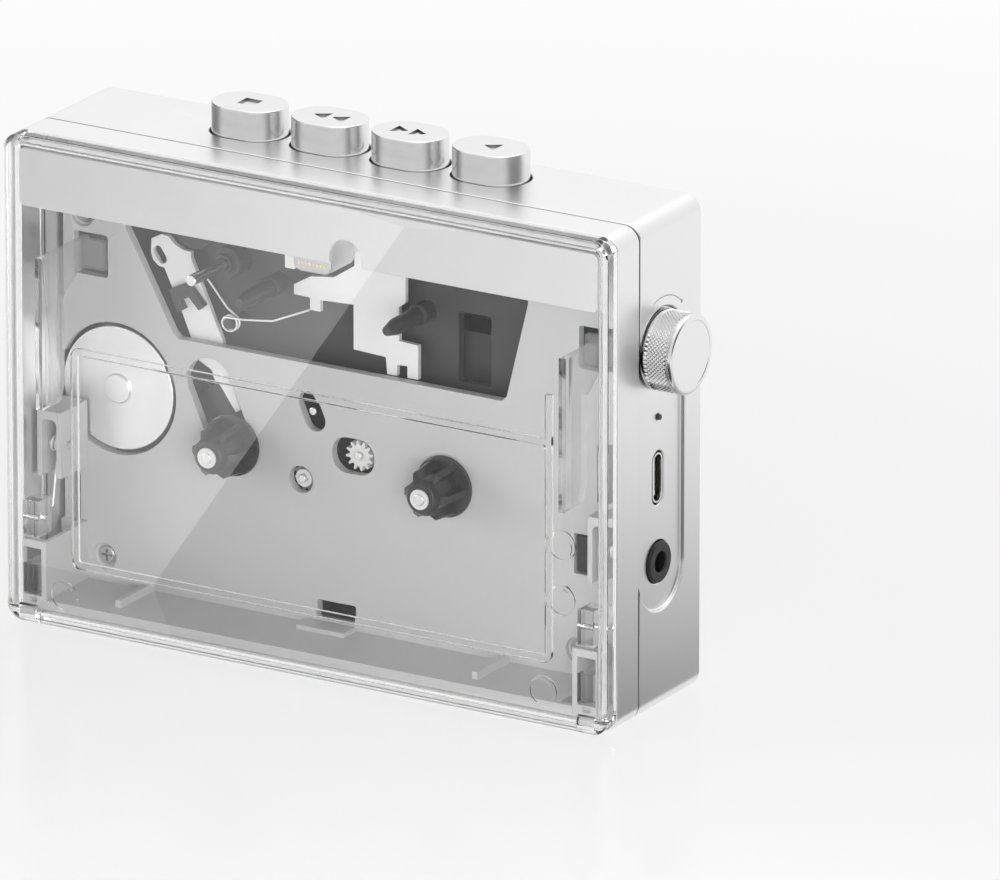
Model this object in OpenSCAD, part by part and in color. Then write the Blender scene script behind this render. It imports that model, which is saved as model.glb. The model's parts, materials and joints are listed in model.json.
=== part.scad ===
// Portable cassette player with a clear front lid, an aluminium case,
// four keys on top and a volume knob on the right-hand side.
// The front faces -Y, the keys point up (+Z), the origin is the middle of the base.

/* [Case] */
// Width of the case
body_w = 120; // [118:0.5:134]
// Height of the case above the cassette, without the keys
body_h = 20; // [19.7:0.1:27.7]
// Depth of the case behind the face of the deck
body_d = 15.6; // [14.2:0.1:21.8]
// Corner radius of the case, seen from the front
corner_r = 3; // [2.5:0.1:6]
// Wall of the aluminium shells
shell_wall = 2; // [1.6:0.1:2.2]
// Depth of the front ring
ring_depth = 7.5; // [5:0.1:9]
// Open joint between the ring and the rear shell
seam_gap = 0.3; // [0.1:0.05:0.5]
// Overlap of the rear shell's lip inside the ring
lip_len = 1.4; // [1:0.1:2]
// Thickness of the back wall, with the plate in it
back_wall = 2.2; // [2:0.1:2.6]
// Thickness of the back plate
back_plate_t = 1; // [0.8:0.1:1.2]
// Distance from the case's edge to the back plate
back_plate_inset = 2.5; // [2:0.1:6]
// Groove around the back plate
back_plate_gap = 0.15; // [0.05:0.05:0.3]

/* [Lid] */
// Depth of the clear lid
lid_depth = 4; // [3.6:0.1:4.6]
// Thickness of the lid's front plate
lid_plate_t = 2; // [1.6:0.1:2.2]
// Width of the lid's rim
lid_rim = 2; // [1.8:0.1:2.2]
// Gap between the closed lid and the ring
lid_gap = 0.15; // [0.1:0.05:0.3]
// Height of the lid's lower edge over the base
lid_lift = 0.35; // [0.3:0.05:0.6]
// Bevel on the lid's front edge
lid_bevel = 0.9; // [0.3:0.1:1.2]
// Height of the rib on the inside of the lid
rib_h = 0.9; // [0.4:0.1:1.2]
// Width of the rib on the inside of the lid
rib_w = 1.2; // [0.6:0.1:2]
// Thickness of the arms that carry the cassette
arm_t = 1.3; // [1:0.1:1.6]
// Width of the lid's lugs
lug_w = 3; // [2.4:0.1:3.2]
// Depth of the lid's lugs behind the front plate
lug_depth = 4.4; // [3:0.1:4.6]
// Radius of the steel pins in the lugs
lug_pin_r = 0.5; // [0.3:0.05:0.8]

/* [Hinge] */
// Radius of the hinge pins
hinge_pin_r = 0.6; // [0.5:0.05:0.7]
// Radius of the ears that hold the hinge pins
ear_r = 1.1; // [1:0.05:1.2]
// Width of the ears
ear_w = 3; // [2:0.1:3.2]
// Room around the ears
ear_gap = 0.25; // [0.15:0.05:0.3]
// Swing of the lid, in degrees
lid_swing = 40; // [20:1:40]

/* [Cassette bay] */
// Width of the cassette
cassette_w = 100.4; // [100:0.1:101]
// Height of the cassette
cassette_h = 63.8; // [63:0.1:64]
// Distance between the reel axes
hub_pitch = 42.5; // [42:0.1:43]
// Height of the reel axes over the cassette's lower edge
hub_rise = 29.5; // [29:0.1:30]
// Offset of the cassette's middle from the case's middle
cassette_x = -1.95; // [-3:0.05:-1]
// Room beside the cassette
bay_gap = 0.4; // [0.2:0.05:0.6]
// Depth of the bay, from the lid's front to the deck
deck_depth = 16.2; // [16:0.1:17]
// Thickness of the deck
deck_t = 1.8; // [1.4:0.1:2]
// Top of the bay's floor over the base
floor_z = 4.5; // [4.3:0.1:5]
// Thickness of the bay's floor
floor_t = 1.6; // [1:0.1:1.7]
// Gap between the lid and the moulded frame behind it
frame_gap = 0.4; // [0.3:0.05:0.6]
// Thickness of the head cover
cover_t = 1.2; // [0.8:0.1:1.6]
// Height of the head cover
cover_h = 10.4; // [8:0.1:10.6]

/* [Keys] */
// Width of a key
key_w = 13.8; // [10:0.1:14]
// Depth of a key
key_d = 10.3; // [8:0.1:10.6]
// Height of a key over the case
key_h = 5.2; // [4.5:0.1:7]
// Distance between keys
key_pitch = 16; // [15.9:0.1:17]
// Distance of the keys' middle behind the deck
key_y = 4.7; // [4.5:0.1:5.1]
// Travel of a key
key_travel = 3.5; // [2.5:0.1:3.6]
// Gap around a key
key_gap = 0.35; // [0.2:0.05:0.4]
// Bevel on a key's top edge
key_bevel = 0.5; // [0.2:0.1:1]
// Radius of a key's stem
stem_r = 2; // [1.6:0.1:2.1]
// Depth of the sign cut into a key
sign_d = 0.5; // [0.1:0.05:0.8]
// Side of the square sign
sign_w = 3.3; // [2:0.1:4]
// Half height of the arrow signs
arrow_h = 1.75; // [1:0.05:2]

/* [Knob and sockets] */
// Radius of the volume knob
knob_r = 7.05; // [5:0.05:7.2]
// Length of the volume knob
knob_l = 6.2; // [4:0.1:9]
// Bevel on the knob's face
knob_bevel = 0.6; // [0.2:0.1:1]
// Radius of the knob's shaft
shaft_r = 1.5; // [1.2:0.1:1.8]
// Distance of the knob's axis below the top of the case
knob_z = 23.8; // [22.3:0.1:25.3]
// Distance of the sockets' middle behind the deck
port_y = 0.9; // [0.8:0.05:1]
// Radius of the recess around the knob and the sockets
recess_r = 7.5; // [7.3:0.1:8]
// Depth of the recess
recess_d = 0.8; // [0.4:0.1:1]
// Height of the charging socket over the base
usb_z = 41.4; // [40:0.2:43]
// Height of the headphone socket over the base
jack_z = 26.4; // [25.8:0.2:27]
// Radius of the headphone socket's bore
jack_bore_r = 1.8; // [1.76:0.02:1.84]
// Radius of the headphone socket's ring
jack_ring_r = 3.65; // [3.2:0.05:3.8]
// Height of the status light over the base
light_z = 52.3; // [51:0.1:54]

/* [Tape drive] */
// Radius of the motor
motor_r = 11.1; // [9.5:0.1:11.2]
// Radius of the flywheel
flywheel_r = 12.6; // [10:0.1:13.4]
// Radius of the capstan
capstan_r = 1; // [0.8:0.05:1.2]
// Radius of the pinch roller
roller_r = 4.5; // [3.8:0.1:4.55]
// Radius of the reel axles
axle_r = 1; // [0.8:0.05:1.2]
// Radius of a reel hub's flange
hub_flange_r = 5.5; // [5.2:0.05:6]
// Reach of a reel hub in front of the deck
hub_reach = 8.3; // [7:0.1:9]
// Module of the gears
gear_m = 0.4; // [0.38:0.01:0.41]
// Thickness of the gears
gear_t = 1.4; // [1:0.1:1.5]
// Thickness of the sheet-metal levers
sheet_t = 1; // [0.6:0.1:1.1]
// Swing of the pinch roller arm, in degrees
pinch_angle = 15.8; // [8:0.1:15.8]
// Running clearance of shafts in their bores
run_gap = 0.05; // [0.02:0.01:0.09]
// Clearance of pieces that are fixed together
fix_gap = 0.02; // [0.01:0.01:0.04]

/* [Springs] */
// Radius of the lid springs' wire
lid_wire_r = 0.2; // [0.15:0.01:0.22]
// Radius of the lid springs' coil
lid_coil_r = 1.35; // [1.2:0.05:1.5]
// Radius of the key springs' wire
key_wire_r = 0.25; // [0.2:0.01:0.28]
// Turns of a key spring
key_turns = 5; // [3:1:5]
// Radius of the slide spring's wire
slide_wire_r = 0.2; // [0.15:0.01:0.22]

/* [Hidden] */
$fn = 64;
eps = 0.01;

// Main planes of the case
case_d = deck_depth + body_d;
y_front = -case_d / 2;
y_back = case_d / 2;
y_lid = y_front + lid_depth;
y_seam = y_lid + ring_depth;
y_in = y_back - back_wall;
side_x = body_w / 2;
case_h = floor_z + cassette_h + body_h;
in_x = side_x - shell_wall;
in_top = case_h - shell_wall;
knob_axis = case_h - knob_z;

// Hinge axis: the lower edge of the lid is round about it
hinge_y = y_front + lid_plate_t;
heel_r = y_lid - lid_gap - hinge_y;
hinge_z = lid_lift + heel_r;

// Moulded frame and cassette bay
frame_x = side_x - max(lid_rim, shell_wall) - frame_gap - 0.2;
frame_y = hinge_y + frame_gap;
frame_z = lid_lift + lid_rim + frame_gap - 0.1;
deck_y = y_front + deck_depth;
deck_back = deck_y + deck_t;
key_row = deck_back + key_y;
port_row = deck_back + port_y;
bay_left = cassette_x - cassette_w / 2 - bay_gap;
bay_right = cassette_x + cassette_w / 2 + bay_gap;
hub_z = floor_z + hub_rise;
hub_left = cassette_x - hub_pitch / 2;
hub_right = cassette_x + hub_pitch / 2;
tape_z = floor_z + cassette_h;
bracket_in = -bay_left + 0.05;
bracket_top = floor_z + 10.5;
cover_top = case_h - lid_rim - frame_gap - 0.2;
cover_z = cover_top - cover_h;
heel_slope = lid_swing - atan((frame_z - hinge_z) / heel_r) + 4;
deck_top = case_h - shell_wall - 1.2 - key_travel - 0.6;

// Lid arms
arm_z = floor_z + 34.5;
arm_top = tape_z - 2;
arm_back = deck_y - 6.8;
arm_left = bay_left - 0.3 - arm_t;
arm_right = bay_right + 1.5;
tab_w = 4.8;
tab_t = 1.3;
tab_h = 5.6;
tab_room = 1;

// Lugs on the lid: lower and upper ends of each pair
lug_x = frame_x - 0.5 - lug_w / 2;
lug_low = [floor_z + 0.9, floor_z + 6.3];
lug_high = [floor_z + 11.1, floor_z + 17.7];
lug_pin_z = (lug_high[0] + lug_high[1]) / 2;
lug_pin_y = hinge_y + lug_depth / 2;

// Spring blocks beside the bay
block_z = floor_z + 20.5;
block_top = floor_z + 32.5;
block_y = deck_y - 8.8;
rings = 8;
lid_steps = 2 * rings + 3;
lid_turn = 2 * lid_wire_r + 0.44;
lid_coil_l = lid_turn * lid_steps / rings;
slot_w = lid_coil_l + 2 * lid_wire_r + 0.5;
slot_x = frame_x - (frame_x - bracket_in) / 2;
spring_pin_r = 0.8;
spring_pin_y = deck_y - 5.9;
spring_pin_z = block_z + 5.5;

// Layers behind the deck
layer_y = deck_back + 0.3;
gear_y = layer_y + sheet_t + 0.2;
chassis_y = gear_y + gear_t + 0.2;
chassis_t = 1.8;
chassis_back = chassis_y + chassis_t;
chassis_left = -50;
chassis_right = 39;
chassis_z = 20;
shelf_top = in_top - 1.1 - key_travel - 3.2;
shelf_t = 2.5;
chassis_posts = [[-46, 62], [-2, 24], [36.5, 60]];
post_r = 2;

// Tape drive
capstan_x = cassette_x - 23.25;
capstan_z = tape_z - 2.25;
motor_x = hub_left - 23.4;
motor_z = hub_z + 6;
pulley_y = y_in - 2.4;
pulley_w = 1.8;
pulley_r = 2.6;
groove_d = 0.6;
belt_t = 0.8;
belt_w = 1;
belt_y = pulley_y + pulley_w / 2;
pinch_arm_l = 15.3;
pinch_x = capstan_x - pinch_arm_l;
pinch_z = capstan_z + 9.95;
guide_x = [cassette_x - 14.7, cassette_x + 14.7];
guide_z = tape_z - 5.3;
guide_r = 1.5;

bearing_r = 2.8;
head_w = 7.5;
head_x = cassette_x + 0.85;
head_z = tape_z + 3.1;
lever_x = capstan_x - 4.3;
lever_z = hub_z + 15.5;
lever_top = tape_z - lever_z;
lever_pin_r = 1.5;
pinch_pin_r = 1.2;

// Gears: teeth, and places along the line from the reel that drives them
teeth_right = 77;
teeth_left = 55;
teeth_idler = 12;
teeth_transfer = 16;
idler_angle = 173.5;
transfer_angle = -16.3;
idler_dist = gear_m * (teeth_right + teeth_idler) / 2;
transfer_dist = gear_m * (teeth_left + teeth_transfer) / 2;
idler_x = hub_right + idler_dist * cos(idler_angle);
idler_z = hub_z + idler_dist * sin(idler_angle);
transfer_x = hub_left + transfer_dist * cos(transfer_angle);
transfer_z = hub_z + transfer_dist * sin(transfer_angle);
gear_pin_r = 0.7;
spigot_r = 2.4;
sleeve_r = 4.2;
hub_room = 0.5;
flange_lift = 0.2;
flange_t = 0.6;
core_r = 3.3;
guide_pin = [transfer_x + 2.2, transfer_z + 12.6];
gear_pin_at = [[idler_x, idler_z], [transfer_x, transfer_z], guide_pin];

// Keys
key_x = [for (i = [-1.5, -0.5, 0.5, 1.5]) i * key_pitch];
key_foot = in_top - 1.1;
stem_foot = shelf_top - shelf_t - 1;
key_coil_r = stem_r + 0.35 + key_wire_r;
slide_guides = [cassette_x - 4, cassette_x + 17];
slide_guide_z = stem_foot + 0.2;
shelf_back = key_row + stem_r + 0.8;
flywheel_y = shelf_back + 0.8;

// Screws that hold the deck to the rear shell
screw_at = [[-49.45, 9], [45.6, 9], [-53.4, tape_z + 2.4], [52.6, case_h - 13.3]];
screw_head_r = 1.7;
screw_r = 0.75;
boss_r = 2.6;
bore_r = 2.4;

// Main board and sockets
board_left = chassis_right + 1.5;
board_right = in_x - 0.6;
board_y = port_row + 1.7;
board_t = 1;
wall_out = side_x - recess_d;
jack_len = wall_out + 0.6 - board_left - 4.7;
pot_l = 4.9;
pot_half = 3.5;
knob_back = wall_out + 0.4;

// A profile drawn in X and Z, swept from y0 to y1
module slab(y0, y1) {
    translate([0, y1, 0]) rotate([90, 0, 0]) linear_extrude(y1 - y0) children();
}

// A profile drawn in Y and Z, swept from x0 to x1
module plate_x(x0, x1) {
    translate([x0, 0, 0]) rotate([90, 0, 90]) linear_extrude(x1 - x0) children();
}

function span(middle, half) = [middle - half, middle + half];

module box(x, y, z) {
    translate([x[0], y[0], z[0]]) cube([x[1] - x[0], y[1] - y[0], z[1] - z[0]]);
}

module rod_x(y, z, r, x0, x1) {
    translate([x0, y, z]) rotate([0, 90, 0]) cylinder(r = r, h = x1 - x0);
}

module rod_y(x, z, r, y0, y1) {
    translate([x, y1, z]) rotate([90, 0, 0]) cylinder(r = r, h = y1 - y0);
}

// Rectangle with round corners, between two corner points
module rounded(x0, x1, z0, z1, r) {
    translate([x0 + r, z0]) square([x1 - x0 - 2 * r, z1 - z0]);
    translate([x0, z0 + r]) square([x1 - x0, z1 - z0 - 2 * r]);
    for (x = [x0 + r, x1 - r], z = [z0 + r, z1 - r]) translate([x, z]) circle(r);
}

// Outline with round ends about two points
module oblong(a, b, r) {
    side = r * [a[1] - b[1], b[0] - a[0]] / norm(b - a);
    polygon([a + side, a - side, b - side, b + side]);
    translate(a) circle(r);
    translate(b) circle(r);
}

// Outline of the case, drawn in by a given amount
module case_outline(in, low = 0) {
    rounded(-side_x + in, side_x - in, low + in, case_h - in, max(corner_r - in, 0.5));
}

// Two wheels and the straight sides of the belt around them
module belt_outline(grow) {
    a = [motor_x, motor_z];
    b = [capstan_x, capstan_z];
    ra = pulley_r - groove_d + grow;
    rb = flywheel_r - groove_d + grow;
    turn = atan2(b[1] - a[1], b[0] - a[0]);
    lean = acos((ra - rb) / norm(b - a));
    translate(a) circle(ra);
    translate(b) circle(rb);
    polygon([for (p = [[a, ra, 1], [a, ra, -1], [b, rb, -1], [b, rb, 1]])
        p[0] + p[1] * [cos(turn + p[2] * lean), sin(turn + p[2] * lean)]]);
}

// Outline of a spur gear, with a tooth centred on the given angle
module gear_outline(teeth, first) {
    pitch = gear_m * teeth / 2;
    step = 360 / teeth;
    polygon([for (i = [0 : teeth - 1], c = [[-0.33, -1.15], [-0.12, 0.85], [0.12, 0.85], [0.33, -1.15]])
        (pitch + c[1] * gear_m) * [cos(first + (i + c[0]) * step), sin(first + (i + c[0]) * step)]]);
}

// A tube along a list of points that turns about the given axis
function unit(v) = v / norm(v);
function along(p, i) = unit(p[min(i + 1, len(p) - 1)] - p[max(i - 1, 0)]);
function ring_at(p, i, r, axis, sides) =
    let (t = along(p, i), u = unit(cross(t, axis)), v = cross(t, u))
    [for (k = [0 : sides - 1]) p[i] + r * (cos(360 * k / sides) * u + sin(360 * k / sides) * v)];

module wire(p, r, axis, sides = 6) {
    n = len(p);
    points = [for (i = [0 : n - 1]) each ring_at(p, i, r, axis, sides)];
    walls = [for (i = [0 : n - 2], k = [0 : sides - 1])
        let (a = i * sides + k, b = i * sides + (k + 1) % sides)
        each [[a, b, b + sides], [a, b + sides, a + sides]]];
    start = [for (k = [1 : sides - 2]) [0, k + 1, k]];
    end = [for (k = [1 : sides - 2]) [(n - 1) * sides, (n - 1) * sides + k, (n - 1) * sides + k + 1]];
    polyhedron(points, concat(walls, start, end));
}

// Least gap of a wire to itself, leaving out what lies within one curl
function self_gap(p, r, skip) = min([for (i = [0 : len(p) - 1 - skip], j = [i + skip : len(p) - 1])
    norm(p[i] - p[j])]) - 2 * r;

// Lid spring: a coil on the pin, one leg against the block, one behind the upper lug
function lid_spring_path(s) = let (x0 = s * slot_x - lid_coil_l / 2, x1 = s * slot_x + lid_coil_l / 2) concat(
    [[x0, deck_y - 3.2, spring_pin_z + 3.4]],
    [[x0, deck_y - 3.9, spring_pin_z + 1.6]],
    [for (i = [0 : lid_steps]) let (t = 45 - 360 * i / rings)
        [x0 + lid_turn * i / rings, spring_pin_y + lid_coil_r * cos(t), spring_pin_z + lid_coil_r * sin(t)]],
    [[x1, spring_pin_y - 1.9, spring_pin_z - 3]],
    [[x1, hinge_y + lug_depth + 0.5, lug_pin_z + 1]]);

function key_spring_path(x) = [for (i = [0 : key_turns * rings]) let (t = 360 * i / rings)
    [x + key_coil_r * cos(t), key_row + key_coil_r * sin(t),
    shelf_top + key_wire_r + 0.1 + (key_foot - shelf_top - 1.2 - 2 * key_wire_r) * i / (key_turns * rings)]];

slide_coil = [capstan_x + 1.2, tape_z - 12.7];
slide_coil_r = 1.35;
slide_coil_y = deck_y + 1.5;
slide_turn = 0.86;
slide_steps = 2 * rings - 1;
slide_leg_y = slide_coil_y - slide_turn * slide_steps / rings;
slide_spring_path = concat(
    [[slide_coil[0] - 5.2, slide_coil_y, slide_coil[1] + 6.9]],
    [[slide_coil[0] - 1.1, slide_coil_y, slide_coil[1] + 2.2]],
    [for (i = [0 : slide_steps]) let (t = 70 - 360 * i / rings)
        [slide_coil[0] + slide_coil_r * cos(t), slide_coil_y - slide_turn * i / rings,
        slide_coil[1] + slide_coil_r * sin(t)]],
    [[slide_coil[0] + 3.1, slide_leg_y, slide_coil[1] + 1.3]],
    [[slide_coil[0] + 9, slide_leg_y, slide_coil[1] + 2.1]],
    [[slide_coil[0] + 16.2, slide_leg_y, slide_coil[1] + 5.3]]);

// Rear half of the case: a deep aluminium tub
module rear_shell() {
    color("silver") difference() {
        union() {
            difference() {
                slab(y_seam, y_back) case_outline(0);
                slab(y_seam - eps, y_in) case_outline(shell_wall);
            }
            difference() {
                slab(y_seam - lip_len, y_seam + 1) case_outline(shell_wall / 2 + 0.05);
                slab(y_seam - lip_len - eps, y_seam + 1 + eps) case_outline(shell_wall);
            }
            for (p = screw_at) rod_y(p[0], p[1], boss_r, deck_back, y_in + eps);
        }
        slab(y_back - back_plate_t, y_back + 1) plate_outline(0);
        for (x = key_x) translate([x, key_row, in_top - 1]) linear_extrude(shell_wall + 2) key_outline(key_gap);
        plate_x(side_x - recess_d, side_x + 1) oblong([port_row, jack_z - 1], [port_row, knob_axis], recess_r);
        plate_x(in_x - 1, side_x) oblong([port_row, usb_z - 2.95], [port_row, usb_z + 2.95], 1.85);
        rod_x(port_row, jack_z, jack_ring_r + 0.1, in_x - 1, side_x);
        rod_x(port_row, light_z, 0.55, in_x - 1, side_x);
        rod_x(port_row, knob_axis, shaft_r + 1.5, in_x - 1, side_x);
        for (p = screw_at) rod_y(p[0], p[1], screw_r + fix_gap, deck_back - eps, deck_back + 7);
    }
}

module plate_outline(in) {
    i = back_plate_inset + in;
    rounded(-side_x + i, side_x - i, i, case_h - i, corner_r);
}

// Front ring of the case, which the lid closes
module front_ring() {
    color("silver") difference() {
        slab(y_lid, y_seam - seam_gap) case_outline(0);
        slab(y_lid - eps, y_seam) case_outline(shell_wall);
        slab(y_seam - lip_len - 0.1, y_seam) case_outline(shell_wall / 2);
    }
}

module back_plate() {
    color("gainsboro") slab(y_back - back_plate_t, y_back) plate_outline(back_plate_gap);
}

// Clear lid with its arms, lugs and stiffening rib, as one moulding
module lid() {
    color([0.88, 0.92, 0.94, 0.4]) difference() {
        union() {
            lid_tray();
            lid_rib();
            lid_arm(arm_left, arm_left);
            lid_arm(arm_right, arm_right + arm_t - tab_w);
            for (s = [-1, 1], z = [lug_low, lug_high])
                box(span(s * lug_x, lug_w / 2), [hinge_y - 0.2, hinge_y + lug_depth], z);
        }
        for (s = [-1, 1]) {
            rod_x(hinge_y, hinge_z, ear_r + ear_gap, s * (frame_x - ear_w / 2) - ear_w / 2 - ear_gap,
                s * (frame_x - ear_w / 2) + ear_w / 2 + ear_gap);
            box(span(s * (frame_x - ear_w / 2), ear_w / 2 + ear_gap), [hinge_y - 0.3, y_lid + 1],
                [lid_lift - 1, hinge_z + ear_r + ear_gap]);
            rod_x(hinge_y, hinge_z, hinge_pin_r + run_gap, s * (side_x - lid_rim / 2 - 0.3) - 1.3,
                s * (side_x - lid_rim / 2 - 0.3) + (s > 0 ? 0.8 : 1.3));
            rod_x(lug_pin_y, lug_pin_z, lug_pin_r + fix_gap, s * lug_x - lug_w, s * lug_x + lug_w);
        }
    }
}

module lid_tray() {
    difference() {
        union() {
            slab(y_front + lid_bevel, y_lid - lid_gap) case_outline(0, lid_lift);
            hull() {
                slab(y_front, y_front + eps) case_outline(lid_bevel, lid_lift);
                slab(y_front + lid_bevel - eps, y_front + lid_bevel) case_outline(0, lid_lift);
            }
        }
        slab(hinge_y, y_lid + 1) case_outline(lid_rim, lid_lift);
        difference() {
            box([-side_x - 1, side_x + 1], [hinge_y, y_lid + 1], [lid_lift - 1, hinge_z]);
            rod_x(hinge_y, hinge_z, heel_r, -side_x - 2, side_x + 2);
        }
        plate_x(-side_x + lid_rim, side_x - lid_rim) polygon([[hinge_y, hinge_z],
            [y_lid, hinge_z - (y_lid - hinge_y) * tan(heel_slope)], [y_lid, frame_z], [hinge_y, frame_z]]);
    }
}

// Rectangular rib on the inside of the lid
module lid_rib() {
    x = [bay_left + 5.5, bay_right];
    z = [floor_z + 7, tape_z - 16.9];
    slab(hinge_y - 0.2, hinge_y + rib_h) difference() {
        rounded(x[0], x[1], z[0], z[1], 1.5);
        rounded(x[0] + rib_w, x[1] - rib_w, z[0] + rib_w, z[1] - rib_w, 0.5);
    }
    box([x[1] - rib_w, x[1]], [hinge_y - 0.2, hinge_y + rib_h], [z[1] - 2, z[1] + 8]);
}

// Arm whose tab lies behind a corner of the cassette and lifts it out
module lid_arm(x, tab_x) {
    tab_back = deck_back - 0.3;
    plate_x(x, x + arm_t) polygon([[hinge_y - 0.2, arm_z], [arm_back - 1.2, arm_z], [arm_back, arm_z + 3],
        [arm_back, arm_top - tab_h - 3], [deck_y - 2.5, arm_top - tab_h], [tab_back, arm_top - tab_h],
        [tab_back, arm_top], [hinge_y - 0.2, arm_top]]);
    box([tab_x, tab_x + tab_w], [tab_back - tab_t, tab_back], [arm_top - tab_h, arm_top - 0.4]);
}

module lug_pins() {
    color("white") for (s = [-1, 1])
        rod_x(lug_pin_y, lug_pin_z, lug_pin_r, s * lug_x - lug_w / 2 - 0.4, s * lug_x + lug_w / 2 + 0.4);
}

module hinge_pins() {
    color("white") for (s = [-1, 1])
        rod_x(hinge_y, hinge_z, hinge_pin_r, s > 0 ? frame_x - ear_w : -side_x + lid_rim / 2 - 0.3,
            s > 0 ? side_x - lid_rim / 2 + 0.3 : ear_w - frame_x);
}

// Moulded deck with the floor of the cassette bay
module deck() {
    color("lightgray") difference() {
        union() {
            slab(deck_y, deck_back) rounded(-frame_x, frame_x, frame_z, deck_top, 1.5);
            box([bay_left - 0.05, bay_right + 1], [frame_y, deck_y + eps], [floor_z - floor_t, floor_z]);
            box([-bracket_in, bracket_in], [frame_y, frame_y + 1.2], [frame_z, floor_z]);
            for (x = [cassette_x - 38, cassette_x + 33.5])
                box([x - 0.6, x + 0.6], [frame_y + 3, deck_y + eps], [floor_z - eps, floor_z + 1.4]);
            box([cassette_x - 6.2, cassette_x + 3.4], [deck_y - 4.2, deck_y + eps], [floor_z - eps, floor_z + 0.8]);
        }
        deck_cuts();
    }
}

module deck_cuts() {
    slab(deck_y - eps, deck_back + eps) {
        translate([motor_x, motor_z]) circle(motor_r + 0.8);
        polygon([[-44.6, tape_z + 1], [-42.9, tape_z - 2], [-35.2, tape_z - 16.2], [-34.2, tape_z - 17.1],
            [30.4, tape_z - 17.1], [31.4, tape_z - 16.2], [35.6, tape_z + 1], [35.6, deck_top - 1],
            [-44.6, deck_top - 1]]);
        translate([hub_left, hub_z]) circle(sleeve_r + hub_room);
        oblong([hub_left - 4.8, hub_z + 10.3], [hub_left - 0.6, hub_z + 0.6], 4.4);
        translate([hub_right, hub_z]) circle(sleeve_r + hub_room);
        oblong(guide_pin + [-0.6, 1.5], guide_pin + [0.7, -1.4], 2);
        translate([transfer_x, transfer_z]) circle(2.4);
        rounded(hub_right - 22.6, hub_right - 14.2, hub_z - 1.2, hub_z + 5.2, 3);
        rounded(arm_left - tab_room, arm_left + tab_w + tab_room, arm_top - tab_h - tab_room, arm_top + tab_room, 0.6);
        rounded(arm_right + arm_t - tab_w - tab_room, arm_right + arm_t + tab_room, arm_top - tab_h - tab_room,
            arm_top + tab_room, 0.6);
        rounded(-frame_x + 1.8, -frame_x + 3.2, bracket_top - 0.5, bracket_top + 8.5, 0.5);
        rounded(cassette_x - 4.4, cassette_x + 3.3, floor_z + 1.2, floor_z + 4.4, 0.4);
        translate([board_left + 4.3, jack_z - 3.6]) square([frame_x, 7.2]);
        translate([in_x - 8.7, usb_z - 5.2]) square([frame_x, 10.4]);
        translate([in_x - 4.5, light_z - 2]) square([frame_x, 4]);
        translate([in_x - pot_l - 0.5, knob_axis - pot_half - 1]) square([frame_x, 2 * pot_half + 2]);
    }
    for (p = screw_at) {
        rod_y(p[0], p[1], bore_r, deck_y - eps, deck_y + 0.9);
        rod_y(p[0], p[1], screw_r + 0.25, deck_y, deck_back + eps);
    }
}

module deck_screws() {
    color("darkgray") for (p = screw_at) difference() {
        union() {
            rod_y(p[0], p[1], screw_head_r, deck_y + 0.1, deck_y + 0.9);
            rod_y(p[0], p[1], screw_r, deck_y + 0.9 - eps, deck_back + 6);
        }
        for (w = [[1.1, 0.22], [0.22, 1.1]])
            box(span(p[0], w[0]), [deck_y, deck_y + 0.6], span(p[1], w[1]));
    }
}

// Opaque band in front of the tape head, on two posts
module head_cover() {
    notch_x = cassette_x + 9.75;
    color("lightgray") {
        slab(frame_y, frame_y + cover_t) difference() {
            rounded(-frame_x, frame_x, cover_z, cover_top, 1);
            oblong([notch_x, cover_z - 3], [notch_x, cover_z + 1.4], 3.2);
        }
        for (s = [-1, 1]) rod_y(s * 47.5, deck_top - 2.6, 2.2, frame_y + cover_t - eps, deck_y);
    }
}

// Bracket in a lower corner of the bay, with the ear that holds a hinge pin
module hinge_bracket() {
    difference() {
        union() {
            box([bracket_in, frame_x], [frame_y, frame_y + 1.2], [frame_z, bracket_top]);
            box([bracket_in, bracket_in + 0.8], [frame_y, deck_y], [frame_z, bracket_top]);
            box([bracket_in, frame_x], [frame_y, frame_y + 3.4], [frame_z, lug_low[0] - 0.4]);
            box([bracket_in, frame_x], [deck_y - 1.2, deck_y], [frame_z, bracket_top]);
            box([frame_x - ear_w, frame_x], [hinge_y, frame_y + 1.5], span(hinge_z, ear_r));
            rod_x(hinge_y, hinge_z, ear_r, frame_x - ear_w, frame_x);
        }
        box(span(lug_x, lug_w / 2 + 0.3), [frame_y - 1, frame_y + 2],
            [lug_low[0] - 0.4, bracket_top - 1.4]);
        slab(frame_y - 1, frame_y + 1) rounded(lug_x - 0.9, lug_x + 0.7, lug_low[0] - 1.65, lug_low[0] - 0.75, 0.3);
        rod_x(hinge_y, hinge_z, hinge_pin_r + fix_gap, frame_x - ear_w - 1, frame_x + 1);
    }
}

module hinge_bracket_right() {
    color("lightgray") hinge_bracket();
}

module hinge_bracket_left() {
    color("lightgray") mirror([1, 0, 0]) hinge_bracket();
}

// Slotted block beside the bay, which carries a lid spring on its pin
module spring_block() {
    difference() {
        box([bracket_in, frame_x], [block_y, deck_y], [block_z, block_top]);
        slab(block_y - 1, deck_y - 2.4) rounded(slot_x - slot_w / 2, slot_x + slot_w / 2, block_z - 3, block_top - 1.6, 1);
        rod_x(spring_pin_y, spring_pin_z, spring_pin_r + fix_gap, bracket_in - 1, frame_x + 1);
    }
}

module spring_block_right() {
    color("lightgray") spring_block();
}

module spring_block_left() {
    color("lightgray") mirror([1, 0, 0]) spring_block();
}

module spring_pins() {
    color("white") for (s = [-1, 1])
        rod_x(spring_pin_y, spring_pin_z, spring_pin_r, s * slot_x - 2.2, s * slot_x + 2.2);
}

module lid_springs() {
    color("white") for (s = [-1, 1]) wire(lid_spring_path(s), lid_wire_r, [1, 0, 0]);
}

module key_outline(grow) {
    half = (key_w - key_d) / 2;
    oblong([-half, 0], [half, 0], key_d / 2 + grow);
}

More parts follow.
